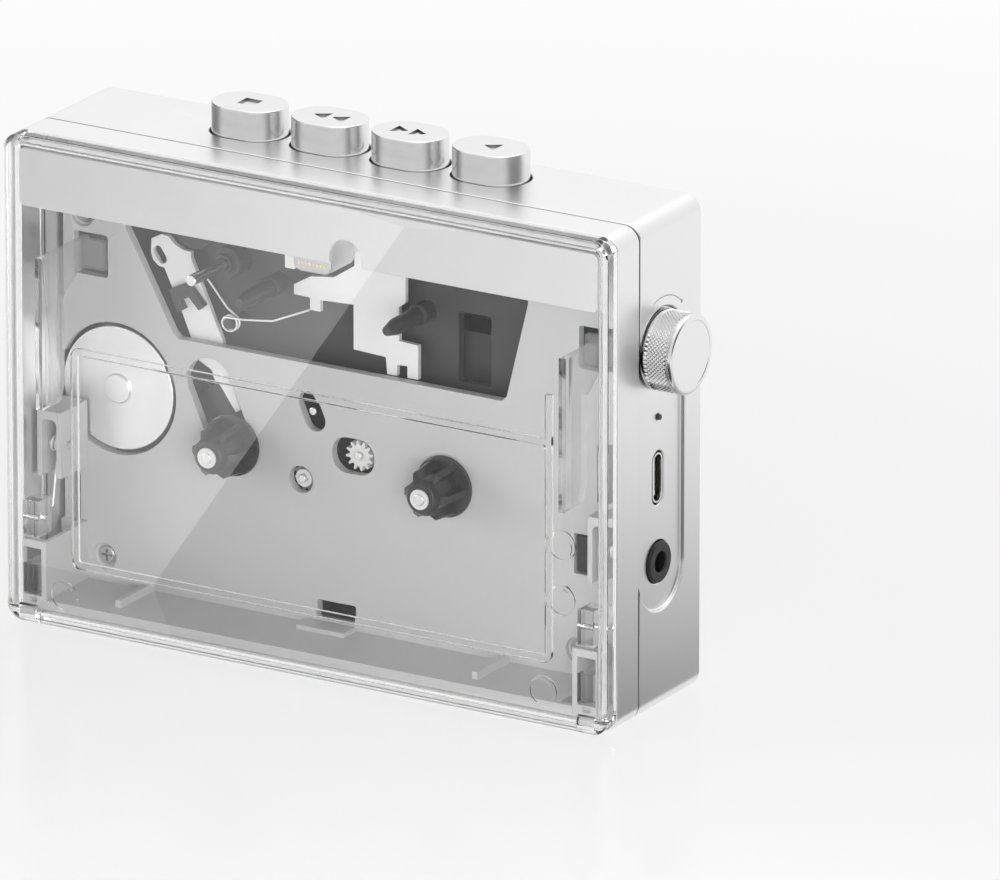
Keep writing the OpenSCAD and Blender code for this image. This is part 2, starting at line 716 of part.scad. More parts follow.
// Outline of a triangle that points to the left or to the right, about the middle of its length
module arrow(x, dir) {
    half = arrow_h * 0.8;
    polygon([[x + dir * half, 0], [x - dir * half, arrow_h], [x - dir * half, -arrow_h]]);
}

// Key cap with its stem; the sign on top is given as a child outline
module key(x) {
    translate([x, key_row, 0]) {
        difference() {
            union() {
                translate([0, 0, key_foot]) linear_extrude(case_h + key_h - key_bevel - key_foot) key_outline(0);
                hull() {
                    translate([0, 0, case_h + key_h - key_bevel - eps]) linear_extrude(eps) key_outline(0, $fn = 48);
                    translate([0, 0, case_h + key_h - eps]) linear_extrude(eps) key_outline(-key_bevel, $fn = 48);
                }
            }
            translate([0, 0, case_h + key_h - sign_d]) linear_extrude(1) children();
        }
        translate([0, 0, key_foot]) linear_extrude(1) oblong([-1.75, 0], [1.75, 0], key_d / 2);
        translate([-key_w / 2 - 0.8, -2.5, key_foot]) cube([key_w + 1.6, 5, 1]);
        translate([0, 0, stem_foot]) cylinder(r = stem_r, h = key_foot - stem_foot + eps);
    }
}

module stop_key() {
    color("silver") key(key_x[0]) square(sign_w, center = true);
}

module rewind_key() {
    color("silver") key(key_x[1]) for (x = [-1.04, 1.04] * arrow_h) arrow(x, -1);
}

module forward_key() {
    color("silver") key(key_x[2]) for (x = [-1.04, 1.04] * arrow_h) arrow(x, 1);
}

module play_key() {
    color("silver") key(key_x[3]) arrow(0, -1);
}

module key_spring(i) {
    color("white") wire(key_spring_path(key_x[i]), key_wire_r, [0, 0, 1]);
}

module stop_key_spring() {
    key_spring(0);
}

module rewind_key_spring() {
    key_spring(1);
}

module forward_key_spring() {
    key_spring(2);
}

module play_key_spring() {
    key_spring(3);
}

// Turned knob with a bevelled face
module volume_knob() {
    color("silver") difference() {
        translate([knob_back, port_row, knob_axis]) rotate([0, 90, 0]) rotate_extrude()
            polygon([[0, 0], [knob_r - 0.3, 0], [knob_r, 0.3], [knob_r, knob_l - knob_bevel],
                [knob_r - knob_bevel, knob_l], [0, knob_l]]);
        rod_x(port_row, knob_axis, shaft_r + fix_gap, knob_back - 1, knob_back + 3.6);
    }
}

module volume_shaft() {
    color("goldenrod") rod_x(port_row, knob_axis, shaft_r, in_x - pot_l + 0.6, knob_back + 3.5);
}

// Body of the volume control with its bush in the case wall
module volume_pot() {
    x = in_x - pot_l;
    color("dimgray") difference() {
        union() {
            box([x, in_x - 0.1], span(port_row, pot_half), span(knob_axis, pot_half));
            rod_x(port_row, knob_axis, shaft_r + 1.4, in_x - 0.2, wall_out - 0.1);
        }
        rod_x(port_row, knob_axis, shaft_r + run_gap, x + 0.5, side_x);
    }
}

// Charging socket: a drawn metal shell with a tongue in it
module usb_socket() {
    color("darkgray") {
        plate_x(in_x - 8, wall_out - 0.1) difference() {
            oblong([port_row, usb_z - 2.84], [port_row, usb_z + 2.84], 1.63);
            oblong([port_row, usb_z - 2.84], [port_row, usb_z + 2.84], 1.3);
        }
        plate_x(in_x - 8, in_x - 7) oblong([port_row, usb_z - 2.84], [port_row, usb_z + 2.84], 1.4);
        box([in_x - 7.1, wall_out - 0.8], span(port_row, 0.35), span(usb_z, 3.3));
    }
}

module headphone_socket() {
    x = wall_out + 0.6 - jack_len;
    color([0.1, 0.1, 0.1]) difference() {
        union() {
            box([x, in_x - 0.1], span(port_row, 2.5), span(jack_z, 3.3));
            rod_x(port_row, jack_z, jack_ring_r, in_x - 0.2, wall_out + 0.6);
        }
        rod_x(port_row, jack_z, jack_bore_r, x + 1.2, side_x + 1);
    }
}

module status_light() {
    color("white") {
        rod_x(port_row, light_z, 0.5, in_x - 1 - eps, wall_out + 0.5);
        box([in_x - 4, in_x - 1], [port_row - 0.8, board_y], span(light_z, 1.5));
    }
}

// Main board behind the sockets, cut out around the larger ones
module main_board() {
    color("darkgreen") difference() {
        box([board_left, board_right], [board_y, board_y + board_t], [jack_z - 12.9, case_h - 16.3]);
        box([board_left + 4.4, side_x], [board_y - 1, board_y + 2], span(jack_z, 3.5));
        box([in_x - pot_l - 0.3, side_x], [board_y - 1, board_y + 2], span(knob_axis, pot_half + 0.3));
    }
}

module battery() {
    color("slategray") slab(chassis_back, y_in - 0.5) rounded(-5, 35, floor_z + 3.5, floor_z + 55.5, 2);
}

// Moulded chassis of the tape drive, with its guide posts and the shelf that guides the keys
module chassis() {
    color([0.22, 0.22, 0.23]) difference() {
        union() {
            slab(chassis_y, chassis_back) rounded(chassis_left, chassis_right, chassis_z, shelf_top, 2);
            box([key_x[0] - 9, key_x[3] + 9], [chassis_y, shelf_back], [shelf_top - shelf_t, shelf_top]);
            for (p = chassis_posts) rod_y(p[0], p[1], post_r, deck_back, chassis_y + eps);
            for (x = guide_x) guide_post(x);
            rod_y(slide_coil[0], slide_coil[1], 0.9, slide_leg_y - slide_wire_r, chassis_y + eps);
            for (x = slide_guides) rod_y(x, slide_guide_z, 1, layer_y, chassis_y + eps);
            rod_y(lever_x, lever_z, lever_pin_r, layer_y, chassis_y + eps);
            rod_y(pinch_x, pinch_z, pinch_pin_r, layer_y, chassis_y + eps);
        }
        rod_y(motor_x, motor_z, motor_r + 0.1, chassis_y - 1, chassis_back + 1);
        rod_y(capstan_x, capstan_z, bearing_r + fix_gap, chassis_y - 1, chassis_back + 1);
        for (x = [hub_left, hub_right]) rod_y(x, hub_z, axle_r + fix_gap, chassis_y - 1, chassis_back + 1);
        for (p = gear_pin_at) rod_y(p[0], p[1], gear_pin_r + fix_gap, chassis_y - 1, chassis_back + 1);
        for (x = key_x) translate([x, key_row, stem_foot - key_travel - 0.4])
            cylinder(r = stem_r + run_gap, h = shelf_top - stem_foot + key_travel + 1);
        box(span(key_x[3], 3.2), [chassis_y - 1, chassis_back + 1], [stem_foot - 5.2, stem_foot + 0.4]);
        slab(chassis_y - 1, chassis_back + 1) rounded(cassette_x + 21, cassette_x + 27.4, tape_z - 17, tape_z - 4.5, 0.4);
    }
}

// Tapered post that locates the cassette
module guide_post(x) {
    translate([x, chassis_y + eps, guide_z]) rotate([90, 0, 0]) rotate_extrude()
        polygon([[0, 0], [guide_r + 0.4, 0], [guide_r + 0.4, 3.2], [guide_r, 3.6], [guide_r, 10.4],
            [guide_r * 0.55, 13.4], [0, 13.4]]);
}

// Motor can, let into the deck, with the boss of its bearing in front
module motor() {
    color("whitesmoke") difference() {
        union() {
            rod_y(motor_x, motor_z, motor_r, deck_y + 0.4, pulley_y - 0.5);
            rod_y(motor_x, motor_z, 2.6, deck_y - 0.2, deck_y + 0.4 + eps);
        }
        rod_y(motor_x, motor_z, 0.75 + run_gap, deck_y + 2, pulley_y);
    }
}

module motor_shaft() {
    color("white") rod_y(motor_x, motor_z, 0.75, deck_y + 2.2, pulley_y + pulley_w + 0.2);
}

// Round disc with a flat groove in its rim, along Y
module grooved_wheel(x, z, r, y0, w, bore) {
    difference() {
        rod_y(x, z, r, y0, y0 + w);
        rod_y(x, z, bore, y0 - 1, y0 + w + 1);
        difference() {
            rod_y(x, z, r + 1, belt_y - belt_w / 2 - 0.1, belt_y + belt_w / 2 + 0.1);
            rod_y(x, z, r - groove_d, belt_y - belt_w, belt_y + belt_w);
        }
    }
}

module motor_pulley() {
    color("goldenrod") grooved_wheel(motor_x, motor_z, pulley_r, pulley_y, pulley_w, 0.75 + fix_gap);
}

module flywheel() {
    color("gainsboro")
        grooved_wheel(capstan_x, capstan_z, flywheel_r, flywheel_y, y_in - 0.5 - flywheel_y, capstan_r + fix_gap);
}

module drive_belt() {
    color([0.15, 0.15, 0.15]) slab(belt_y - belt_w / 2, belt_y + belt_w / 2) difference() {
        belt_outline(run_gap + belt_t);
        belt_outline(run_gap);
    }
}

module capstan() {
    color("white") rod_y(capstan_x, capstan_z, capstan_r, deck_y - 10.3, y_in - 0.3);
}

module capstan_bearing() {
    color([0.3, 0.3, 0.31]) difference() {
        union() {
            rod_y(capstan_x, capstan_z, bearing_r, deck_y + 1.2, flywheel_y - 0.1);
            rod_y(capstan_x, capstan_z, 1.7, deck_y + 0.2, deck_y + 1.2 + eps);
        }
        rod_y(capstan_x, capstan_z, capstan_r + run_gap, deck_y, flywheel_y);
    }
}

module reel_axles() {
    color("white") for (x = [hub_left, hub_right]) rod_y(x, hub_z, axle_r, deck_y - hub_reach - 0.6, chassis_back);
}

module reel_washers() {
    color("white") for (x = [hub_left, hub_right]) difference() {
        rod_y(x, hub_z, 1.8, deck_y - hub_reach - 0.45, deck_y - hub_reach - 0.05);
        rod_y(x, hub_z, axle_r + fix_gap, deck_y - hub_reach - 1, deck_y);
    }
}

// Splined hub that turns a reel: six tapered fins on a round core
module reel_hub(x) {
    base = deck_t + 0.2;
    flange = base + flange_lift;
    top = base + hub_reach;
    spigot = gear_y + gear_t - deck_back - 0.2;
    translate([x, deck_back + 0.2, hub_z]) rotate([90, 0, 0]) difference() {
        union() {
            rotate_extrude() polygon([[0, -spigot], [spigot_r, -spigot], [spigot_r, 0], [sleeve_r, 0],
                [sleeve_r, flange], [hub_flange_r, flange], [hub_flange_r, flange + flange_t],
                [core_r, flange + flange_t + 0.3], [core_r, top - 0.9], [core_r - 0.7, top], [0, top]]);
            for (a = [0 : 60 : 300]) rotate([90, 0, a]) translate([0, 0, -0.65]) linear_extrude(1.3)
                polygon([[2, flange + 0.2], [hub_flange_r - 0.4, flange + 0.2], [core_r + 1.2, top - 2.2],
                    [core_r - 0.1, top - 1.1], [2, top - 1.1]]);
        }
        translate([0, 0, -spigot - 1]) cylinder(r = axle_r + run_gap, h = top + spigot + 2);
    }
}

module reel_hub_left() {
    color([0.14, 0.14, 0.15]) reel_hub(hub_left);
}

module reel_hub_right() {
    color([0.14, 0.14, 0.15]) reel_hub(hub_right);
}

// Spur gear behind the deck, on the given axis
module gear(x, z, teeth, first, y0, t, bore) {
    slab(y0, y0 + t) translate([x, z]) difference() {
        gear_outline(teeth, first);
        circle(bore);
    }
}

module reel_gear_left() {
    color("white") gear(hub_left, hub_z, teeth_left, transfer_angle, gear_y, gear_t, spigot_r + fix_gap);
}

module reel_gear_right() {
    color("white") gear(hub_right, hub_z, teeth_right, idler_angle, gear_y, gear_t, spigot_r + fix_gap);
}

module idler_gear() {
    color("white") gear(idler_x, idler_z, teeth_idler, idler_angle + 180 + 180 / teeth_idler, deck_y + 0.9,
        gear_y + gear_t - deck_y - 0.9, gear_pin_r + run_gap);
}

// Gear with a collar that shows in its round hole in the deck
module transfer_gear() {
    color("white") {
        gear(transfer_x, transfer_z, teeth_transfer, transfer_angle + 180 + 180 / teeth_transfer, gear_y, gear_t,
            gear_pin_r + run_gap);
        slab(deck_y + 0.9, gear_y + eps) translate([transfer_x, transfer_z]) difference() {
            circle(1.6);
            circle(gear_pin_r + run_gap);
        }
    }
}

module gear_pins() {
    color("white") for (p = gear_pin_at) rod_y(p[0], p[1], gear_pin_r, deck_y + 0.3, chassis_back);
}

// Pressed steel slide that the play key pushes down, with the bracket of the tape head
module head_slide() {
    foot = tape_z - 17.1;
    bar = stem_foot - 2.4;
    color("white") {
        slab(layer_y, layer_y + sheet_t) difference() {
            translate([cassette_x, foot]) polygon([[-10.2, 13], [-6.8, 15], [-2.2, 15.6], [1.9, 18.3],
                [1.9, bar - foot], [-6, bar - foot], [-6, stem_foot + 3.4 - foot],
                [key_x[3] + 4 - cassette_x, stem_foot + 3.4 - foot], [key_x[3] + 4 - cassette_x, bar - foot],
                [12.1, bar - foot], [12.1, 13.4], [10.8, 12.4], [10.8, 6.4], [14.6, 6.2], [14.6, 0],
                [12.4, 0], [12.4, 2.1], [10.4, 2], [10.4, 0], [8.4, 0], [8.1, 3], [1.7, 3.3], [1.7, 11.3],
                [-4.9, 11], [-4.9, 8.9], [-7, 8.9], [-7, 11.1], [-10.2, 11.2]]);
            for (x = slide_guides) oblong([x, slide_guide_z], [x, slide_guide_z + key_travel], 1.1);
        }
        box(span(key_x[3], 2.5), [layer_y + sheet_t - eps, key_row + stem_r], [stem_foot - 1.3, stem_foot - 0.1]);
        box(span(head_x, 3), [deck_y - 2.1, layer_y + eps], [head_z + 1.6, head_z + 6.6]);
    }
}

// Tape head, with a round nose towards the tape
module tape_head() {
    color("gray") slab(deck_y - 9.9, deck_y - 2.1) rounded(head_x - head_w / 2, head_x + head_w / 2, head_z, head_z + 8, 1.6);
}

// Fork that steadies the tape beside the head
module tape_guide() {
    x = head_x - head_w / 2;
    color("white") difference() {
        box([x - 1.9, x], [deck_y - 9.6, deck_y - 4], [head_z, head_z + 6]);
        box([x - 3, x + 1], [deck_y - 8, deck_y - 5.6], [head_z - 1, head_z + 3]);
    }
}

module slide_spring() {
    color("white") wire(slide_spring_path, slide_wire_r, [0, 1, 0]);
}

// Pressed steel lever beside the left reel
module brake_lever() {
    color("white") slab(layer_y, layer_y + sheet_t) translate([lever_x, lever_z]) difference() {
        polygon([[-11.3, lever_top - 0.7], [-9.3, lever_top + 0.4], [-7.9, lever_top + 0.3], [-6.5, lever_top - 1],
            [-4.9, lever_top - 1.7], [-3.3, lever_top - 1.8], [-3.3, lever_top - 2.9],
            [3, 2], [3.6, -2.5], [6.6, -9.8], [5.6, -10.5], [0.6, -3.6], [-2.2, -2.2], [-3, 0.6], [-5.1, 5.6],
            [-8.7, lever_top - 5.6], [-9.9, lever_top - 5.4], [-11, lever_top - 4.5], [-11.4, lever_top - 3.3]]);
        circle(lever_pin_r + run_gap);
        oblong([-10, lever_top - 2.7], [-9.1, lever_top - 4], 0.9);
    }
}

// Hooked plastic pad on the lever
module brake_pad() {
    color([0.25, 0.25, 0.26]) slab(layer_y - 1.2, layer_y) translate([lever_x, tape_z - 18.8])
        polygon([[-6.9, 10], [-4.2, 11.4], [-2.5, 11], [0.1, 8.1], [-1.1, 7.1], [-3.1, 9.2], [-4.7, 8.3],
            [-3.9, 6.9], [-5.3, 6], [-6.7, 8.6]]);
}

// Arm of the pinch roller
module pinch_arm() {
    color("gainsboro") slab(layer_y, layer_y + sheet_t) difference() {
        oblong([pinch_x, pinch_z], [capstan_x, pinch_z], 2.5);
        translate([pinch_x, pinch_z]) circle(pinch_pin_r + run_gap);
        translate([capstan_x, pinch_z]) circle(axle_r + fix_gap);
    }
}

module pinch_pin() {
    color("white") rod_y(capstan_x, pinch_z, axle_r, deck_y - 9.8, layer_y + sheet_t);
}

module pinch_roller() {
    color([0.2, 0.2, 0.2]) difference() {
        rod_y(capstan_x, pinch_z, roller_r, deck_y - 9.3, deck_y - 2.9);
        rod_y(capstan_x, pinch_z, axle_r + run_gap, deck_y - 10, deck_y);
    }
}

// Board under the stems of the three keys that work by switches
module switch_board() {
    top = stem_foot - key_travel - 1.3;
    color("darkgreen") box([key_x[0] - 7, key_x[2] + 7], [chassis_back, chassis_back + 2.4], [top - 1, top]);
}

module key_switches() {
    top = stem_foot - key_travel - 1.3;
    color("gray") for (i = [0 : 2]) {
        box(span(key_x[i], 2.4), [chassis_back + 0.1, chassis_back + 2.3], [top, top + 0.8]);
        translate([key_x[i], chassis_back + 1.2, top + 0.8 - eps]) cylinder(r = 0.6, h = 0.4);
    }
}

// Least gaps of the springs to themselves
echo(lid_spring_gap = self_gap(lid_spring_path(1), lid_wire_r, rings - 2));
echo(key_spring_gap = self_gap(key_spring_path(key_x[0]), key_wire_r, rings - 2));
echo(slide_spring_gap = self_gap(slide_spring_path, slide_wire_r, rings - 2));

rear_shell();
front_ring();
back_plate();
lid();
lug_pins();
hinge_pins();
deck();
deck_screws();
head_cover();
hinge_bracket_left();
hinge_bracket_right();
spring_block_left();
spring_block_right();
spring_pins();
lid_springs();
stop_key();
rewind_key();
forward_key();
play_key();
stop_key_spring();
rewind_key_spring();
forward_key_spring();
play_key_spring();
volume_knob();
volume_shaft();
volume_pot();
usb_socket();
headphone_socket();
status_light();
main_board();
battery();
chassis();
motor();
motor_shaft();
motor_pulley();
drive_belt();
flywheel();
capstan();
capstan_bearing();
reel_axles();
reel_washers();
reel_hub_left();
reel_hub_right();
reel_gear_left();
reel_gear_right();
idler_gear();
transfer_gear();
gear_pins();
head_slide();
tape_head();
tape_guide();
slide_spring();
brake_lever();
brake_pad();
pinch_arm();
pinch_pin();
pinch_roller();
switch_board();
key_switches();
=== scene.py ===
import json
import math

import bpy
from bpy.props import FloatProperty, FloatVectorProperty, IntProperty, PointerProperty
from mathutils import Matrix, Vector

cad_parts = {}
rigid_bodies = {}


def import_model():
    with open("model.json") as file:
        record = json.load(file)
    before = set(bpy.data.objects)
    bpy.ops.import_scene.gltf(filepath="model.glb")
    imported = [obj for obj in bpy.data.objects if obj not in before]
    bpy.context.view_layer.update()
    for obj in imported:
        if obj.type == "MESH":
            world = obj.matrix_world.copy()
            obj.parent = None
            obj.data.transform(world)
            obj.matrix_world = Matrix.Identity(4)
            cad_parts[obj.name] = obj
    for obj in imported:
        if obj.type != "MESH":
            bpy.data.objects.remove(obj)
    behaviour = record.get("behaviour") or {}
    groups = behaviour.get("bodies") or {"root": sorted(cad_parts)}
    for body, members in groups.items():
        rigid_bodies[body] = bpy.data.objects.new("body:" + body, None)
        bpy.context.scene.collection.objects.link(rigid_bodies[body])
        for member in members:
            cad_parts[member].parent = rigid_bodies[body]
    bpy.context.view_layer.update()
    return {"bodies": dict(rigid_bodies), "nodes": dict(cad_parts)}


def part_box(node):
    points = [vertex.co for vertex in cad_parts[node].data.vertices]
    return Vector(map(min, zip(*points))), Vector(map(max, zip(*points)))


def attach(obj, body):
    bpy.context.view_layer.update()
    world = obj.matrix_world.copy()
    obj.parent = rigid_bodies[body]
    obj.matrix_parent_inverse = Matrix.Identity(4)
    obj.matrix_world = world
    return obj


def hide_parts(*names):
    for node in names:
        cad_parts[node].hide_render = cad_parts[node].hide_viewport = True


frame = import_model()

bl_info = {
    "name": "Portable cassette player",
    "version": (1, 0, 0),
    "blender": (4, 5, 0),
    "location": "View3D > Sidebar > Player",
    "description": "Builds the finished pieces of a portable cassette player on its solid model",
    "category": "Object",
}

# Sizes in this file are in millimetres, and Blender's unit is the metre
MM = 0.001
PICTURE = (1000, 880)
# Signs on the keys: side of the square, length and half height of an arrow
SQUARE, ARROW_L, ARROW_H = 3.3, 2.8, 1.75
# Open joint between the front ring and the rear shell, where the case's finish paints shade
JOINT_GAP = 0.3
# Degrees between two faces from which their edge is rounded and shaded sharp
SHARP = 32


def length(name, description, millimetres):
    return FloatProperty(
        name=name, description=description, default=millimetres * MM, min=0.0, precision=5,
        subtype="DISTANCE", unit="LENGTH")


def grey(name, description, tone):
    return FloatVectorProperty(
        name=name, description=description, subtype="COLOR", default=(tone, tone, tone))


class PlayerSizes(bpy.types.PropertyGroup):
    """Sizes of the finished pieces that the solid model leaves to the finish"""
    case_edge: length("Case edge", "Rounding of the aluminium case's edges", 0.3)
    lid_edge: length("Lid edge", "Rounding of the clear lid's edges", 0.12)
    mould_edge: length("Moulding edge", "Rounding of the moulded pieces' edges", 0.14)
    sheet_edge: length("Sheet edge", "Rounding of the pressed plates' edges", 0.08)
    key_edge: length("Key edge", "Rounding of the keys' upper edge", 0.28)
    sign_depth: length("Sign depth", "Depth of the signs cut into the keys", 0.36)
    screw_sink: length("Screw sink", "Depth of the screw heads below the deck's face", 0.85)
    knurl_depth: length("Knurl depth", "Depth of the knurling on the volume knob", 0.3)
    knurls: IntProperty(
        name="Knurls", description="Points around the rim of the volume knob", default=56, min=24, max=90)
    knurl_rows: IntProperty(
        name="Knurl rows", description="Half rows of points along the rim of the volume knob",
        default=12, min=4, max=24)


class PlayerColours(bpy.types.PropertyGroup):
    """Colours of the finishes"""
    case: grey("Case", "Bead-blasted aluminium", 0.86)
    keys: grey("Keys", "Satin aluminium of the keys and the knob", 0.84)
    deck: grey("Deck", "Grey plastic of the deck and brackets", 0.63)
    cover: grey("Head cover", "Paler plastic of the head cover", 0.71)
    chassis: grey("Chassis", "Dark plastic behind the deck", 0.055)
    hubs: grey("Hubs", "Glossy black plastic of the reel hubs", 0.018)


def size(name):
    """A size of the finish, in mm."""
    return getattr(bpy.context.scene.player_sizes, name) / MM


def colours():
    return bpy.context.scene.player_colours


# Selection and pieces

def clear_selection():
    active = bpy.context.view_layer.objects.active
    if active is not None and active.mode != "OBJECT":
        bpy.ops.object.mode_set(mode="OBJECT")
    bpy.ops.object.select_all(action="DESELECT")


def activate(piece):
    clear_selection()
    piece.select_set(True)
    bpy.context.view_layer.objects.active = piece


def apply_place():
    bpy.ops.object.transform_apply(location=True, rotation=True, scale=True)


def begin(name):
    """Names the primitive that was just added and puts its place into its mesh."""
    piece = bpy.context.view_layer.objects.active
    piece.name = name
    piece.data.name = name
    apply_place()
    return piece


def select(piece, kind, test):
    """Selects in edit mode the vertices, edges or faces whose middle, in mm, and direction pass the test."""
    activate(piece)
    bpy.ops.object.mode_set(mode="EDIT")
    bpy.ops.mesh.select_mode(type=kind)
    bpy.ops.mesh.select_all(action="DESELECT")
    bpy.ops.object.mode_set(mode="OBJECT")
    mesh = piece.data
    if kind == "VERT":
        for vert in mesh.vertices:
            vert.select = bool(test(vert.co / MM, vert.normal))
    elif kind == "EDGE":
        for edge in mesh.edges:
            a, b = (mesh.vertices[i].co for i in edge.vertices)
            edge.select = bool(test((a + b) / 2 / MM, (b - a).normalized()))
    else:
        for face in mesh.polygons:
            face.select = bool(test(face.center / MM, face.normal))
    bpy.ops.object.mode_set(mode="EDIT")


def select_all(piece):
    activate(piece)
    bpy.ops.object.mode_set(mode="EDIT")
    bpy.ops.mesh.select_all(action="SELECT")


def leave_edit():
    bpy.ops.object.mode_set(mode="OBJECT")


def apply_modifier(piece, kind, **settings):
    activate(piece)
    modifier = piece.modifiers.new(kind.lower(), kind)
    for name, value in settings.items():
        setattr(modifier, name, value)
    bpy.ops.object.modifier_apply(modifier=modifier.name)


def combine(piece, tool, operation, solver="EXACT"):
    """Cuts a tool out of a piece, or unites the two."""
    apply_modifier(piece, "BOOLEAN", object=tool, operation=operation, solver=solver)
    bpy.data.objects.remove(tool, do_unlink=True)
    activate(piece)


def shade(piece, degrees=SHARP):
    """Smooth shading with flat faces kept flat."""
    activate(piece)
    bpy.ops.object.shade_smooth_by_angle(angle=math.radians(degrees))
    apply_modifier(piece, "WEIGHTED_NORMAL", keep_sharp=True, weight=80)


def round_edges(piece, width, segments=2, loop_slide=True):
    apply_modifier(
        piece, "BEVEL", width=width * MM, segments=segments, limit_method="ANGLE",
        angle_limit=math.radians(SHARP), use_clamp_overlap=False, miter_outer="MITER_ARC",
        loop_slide=loop_slide)


def join(pieces, name):
    clear_selection()
    for piece in pieces:
        piece.select_set(True)
    bpy.context.view_layer.objects.active = pieces[0]
    bpy.ops.object.join()
    pieces[0].name = name
    pieces[0].data.name = name
    return pieces[0]


def copy_by(piece, offset):
    """A copy with its own mesh, moved by an offset in mm."""
    activate(piece)
    bpy.ops.object.duplicate()
    bpy.ops.transform.translate(value=Vector(offset) * MM)
    apply_place()
    return bpy.context.view_layer.objects.active


def node_box(node):
    low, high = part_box(node)
    return low / MM, high / MM


def node_body(node):
    parent = frame["nodes"][node].parent
    return next(name for name, empty in frame["bodies"].items() if empty == parent)


def place(piece, finish, like, replaced=()):
    """Gives a piece its finish and the body of a node of the solid model, and hides the nodes that it
    replaces.
    """
    activate(piece)
    apply_place()
    piece.data.materials.clear()
    piece.data.materials.append(finish_named(finish))
    for face in piece.data.polygons:
        face.material_index = 0
    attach(piece, node_body(like))
    if replaced:
        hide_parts(*replaced)
    return piece


def copy_of(node):
    """A merged copy of a node of the solid model."""
    piece = bpy.data.objects.new(node + "_finished", frame["nodes"][node].data.copy())
    bpy.context.scene.collection.objects.link(piece)
    piece.data.name = piece.name
    activate(piece)
    bpy.ops.mesh.customdata_custom_splitnormals_clear()
    select_all(piece)
    bpy.ops.mesh.remove_doubles(threshold=0.0005 * MM)
    leave_edit()
    return piece


def finish_edges(piece, width, segments=2):
    """Makes flat faces whole, rounds the edges and shades them smooth."""
    select_all(piece)
    bpy.ops.mesh.dissolve_limited(angle_limit=math.radians(0.4))
    leave_edit()
    round_edges(piece, width, segments)
    shade(piece)


def dress(node, finish, edge, segments=2):
    """A copy of a node with rounded edges and a finish, which stands for the node."""
    piece = copy_of(node)
    finish_edges(piece, edge, segments)
    return place(piece, finish, node, [node])


def wire(name, points, radius):
    """A round wire along points in mm."""
    curve = bpy.data.curves.new(name, "CURVE")
    curve.dimensions = "3D"
    curve.bevel_depth = radius * MM
    curve.bevel_resolution = 3
    curve.use_fill_caps = True
    spline = curve.splines.new("POLY")
    spline.points.add(len(points) - 1)
    for spot, point in zip(spline.points, points):
        spot.co = (*(Vector(point) * MM), 1)
    piece = bpy.data.objects.new(name, curve)
    bpy.context.scene.collection.objects.link(piece)
    activate(piece)
    bpy.ops.object.convert(target="MESH")
    piece = bpy.context.view_layer.objects.active
    shade(piece, 50)
    return piece


# Finishes

def feed(tree, socket, value):
    """Links a socket to an output, or gives it a plain value."""
    if isinstance(value, bpy.types.NodeSocket):
        tree.links.new(value, socket)
    else:
        socket.default_value = value


def new_node(tree, kind, inputs=None, **settings):
    made = tree.nodes.new("ShaderNode" + kind)
    for name, value in settings.items():
        setattr(made, name, value)
    for name, value in (inputs or {}).items():
        feed(tree, made.inputs[name], value)
    return made


def math_node(tree, operation, *values):
    made = new_node(tree, "Math", operation=operation)
    for socket, value in zip(made.inputs, values):
        feed(tree, socket, value)
    return made.outputs[0]


def vector_math(tree, operation, *values):
    """Result of a vector operation: a vector, or a value for a length, a distance or a product."""
    made = new_node(tree, "VectorMath", dict(enumerate(values)), operation=operation)
    return made.outputs["Value" if operation in ("LENGTH", "DISTANCE", "DOT_PRODUCT") else "Vector"]


def remap(tree, value, start, end, low=0.0, high=1.0):
    """A value taken from one range to another, and held inside it."""
    return new_node(tree, "MapRange", {
        "Value": value, "From Min": start, "From Max": end, "To Min": low, "To Max": high}).outputs[0]


def object_point(tree):
    return new_node(tree, "TexCoord").outputs["Object"]


def axes(tree, vector):
    return new_node(tree, "SeparateXYZ", {"Vector": vector}).outputs


def flat_point(tree, x, y):
    return new_node(tree, "CombineXYZ", {"X": x, "Y": y}).outputs[0]


def new_group(name, inputs, outputs):
    tree = bpy.data.node_groups.new(name, "ShaderNodeTree")
    for label, value in inputs:
        kind = "NodeSocketVector" if isinstance(value, tuple) else "NodeSocketFloat"
        tree.interface.new_socket(label, in_out="INPUT", socket_type=kind).default_value = value
    for label in outputs:
        tree.interface.new_socket(label, in_out="OUTPUT", socket_type="NodeSocketFloat")
    return tree, tree.nodes.new("NodeGroupInput").outputs, tree.nodes.new("NodeGroupOutput").inputs


def surface_grain():
    """Fine grain of a blasted or moulded surface, and slow patches in its tone."""
    tree, given, out = new_group(
        "surface_grain", [("Scale", 3000.0), ("Low", 0.3), ("High", 0.4), ("Patches", 0.03)],
        ["Height", "Roughness", "Shade"])
    spot = object_point(tree)
    fine = new_node(tree, "TexNoise", {"Vector": spot, "Scale": given["Scale"], "Detail": 3.0}).outputs[0]
    slow = new_node(tree, "TexNoise", {"Vector": spot, "Scale": 42.0, "Detail": 2.0}).outputs[0]
    blend = math_node(tree, "MULTIPLY_ADD", fine, 0.6, math_node(tree, "MULTIPLY", slow, 0.4))
    swing = math_node(tree, "MULTIPLY", math_node(tree, "SUBTRACT", slow, 0.5), given["Patches"])
    tree.links.new(fine, out["Height"])
    tree.links.new(remap(tree, blend, 0.3, 0.7, given["Low"], given["High"]), out["Roughness"])
    tree.links.new(math_node(tree, "MULTIPLY_ADD", swing, 4.0, 1.0), out["Shade"])
    return tree


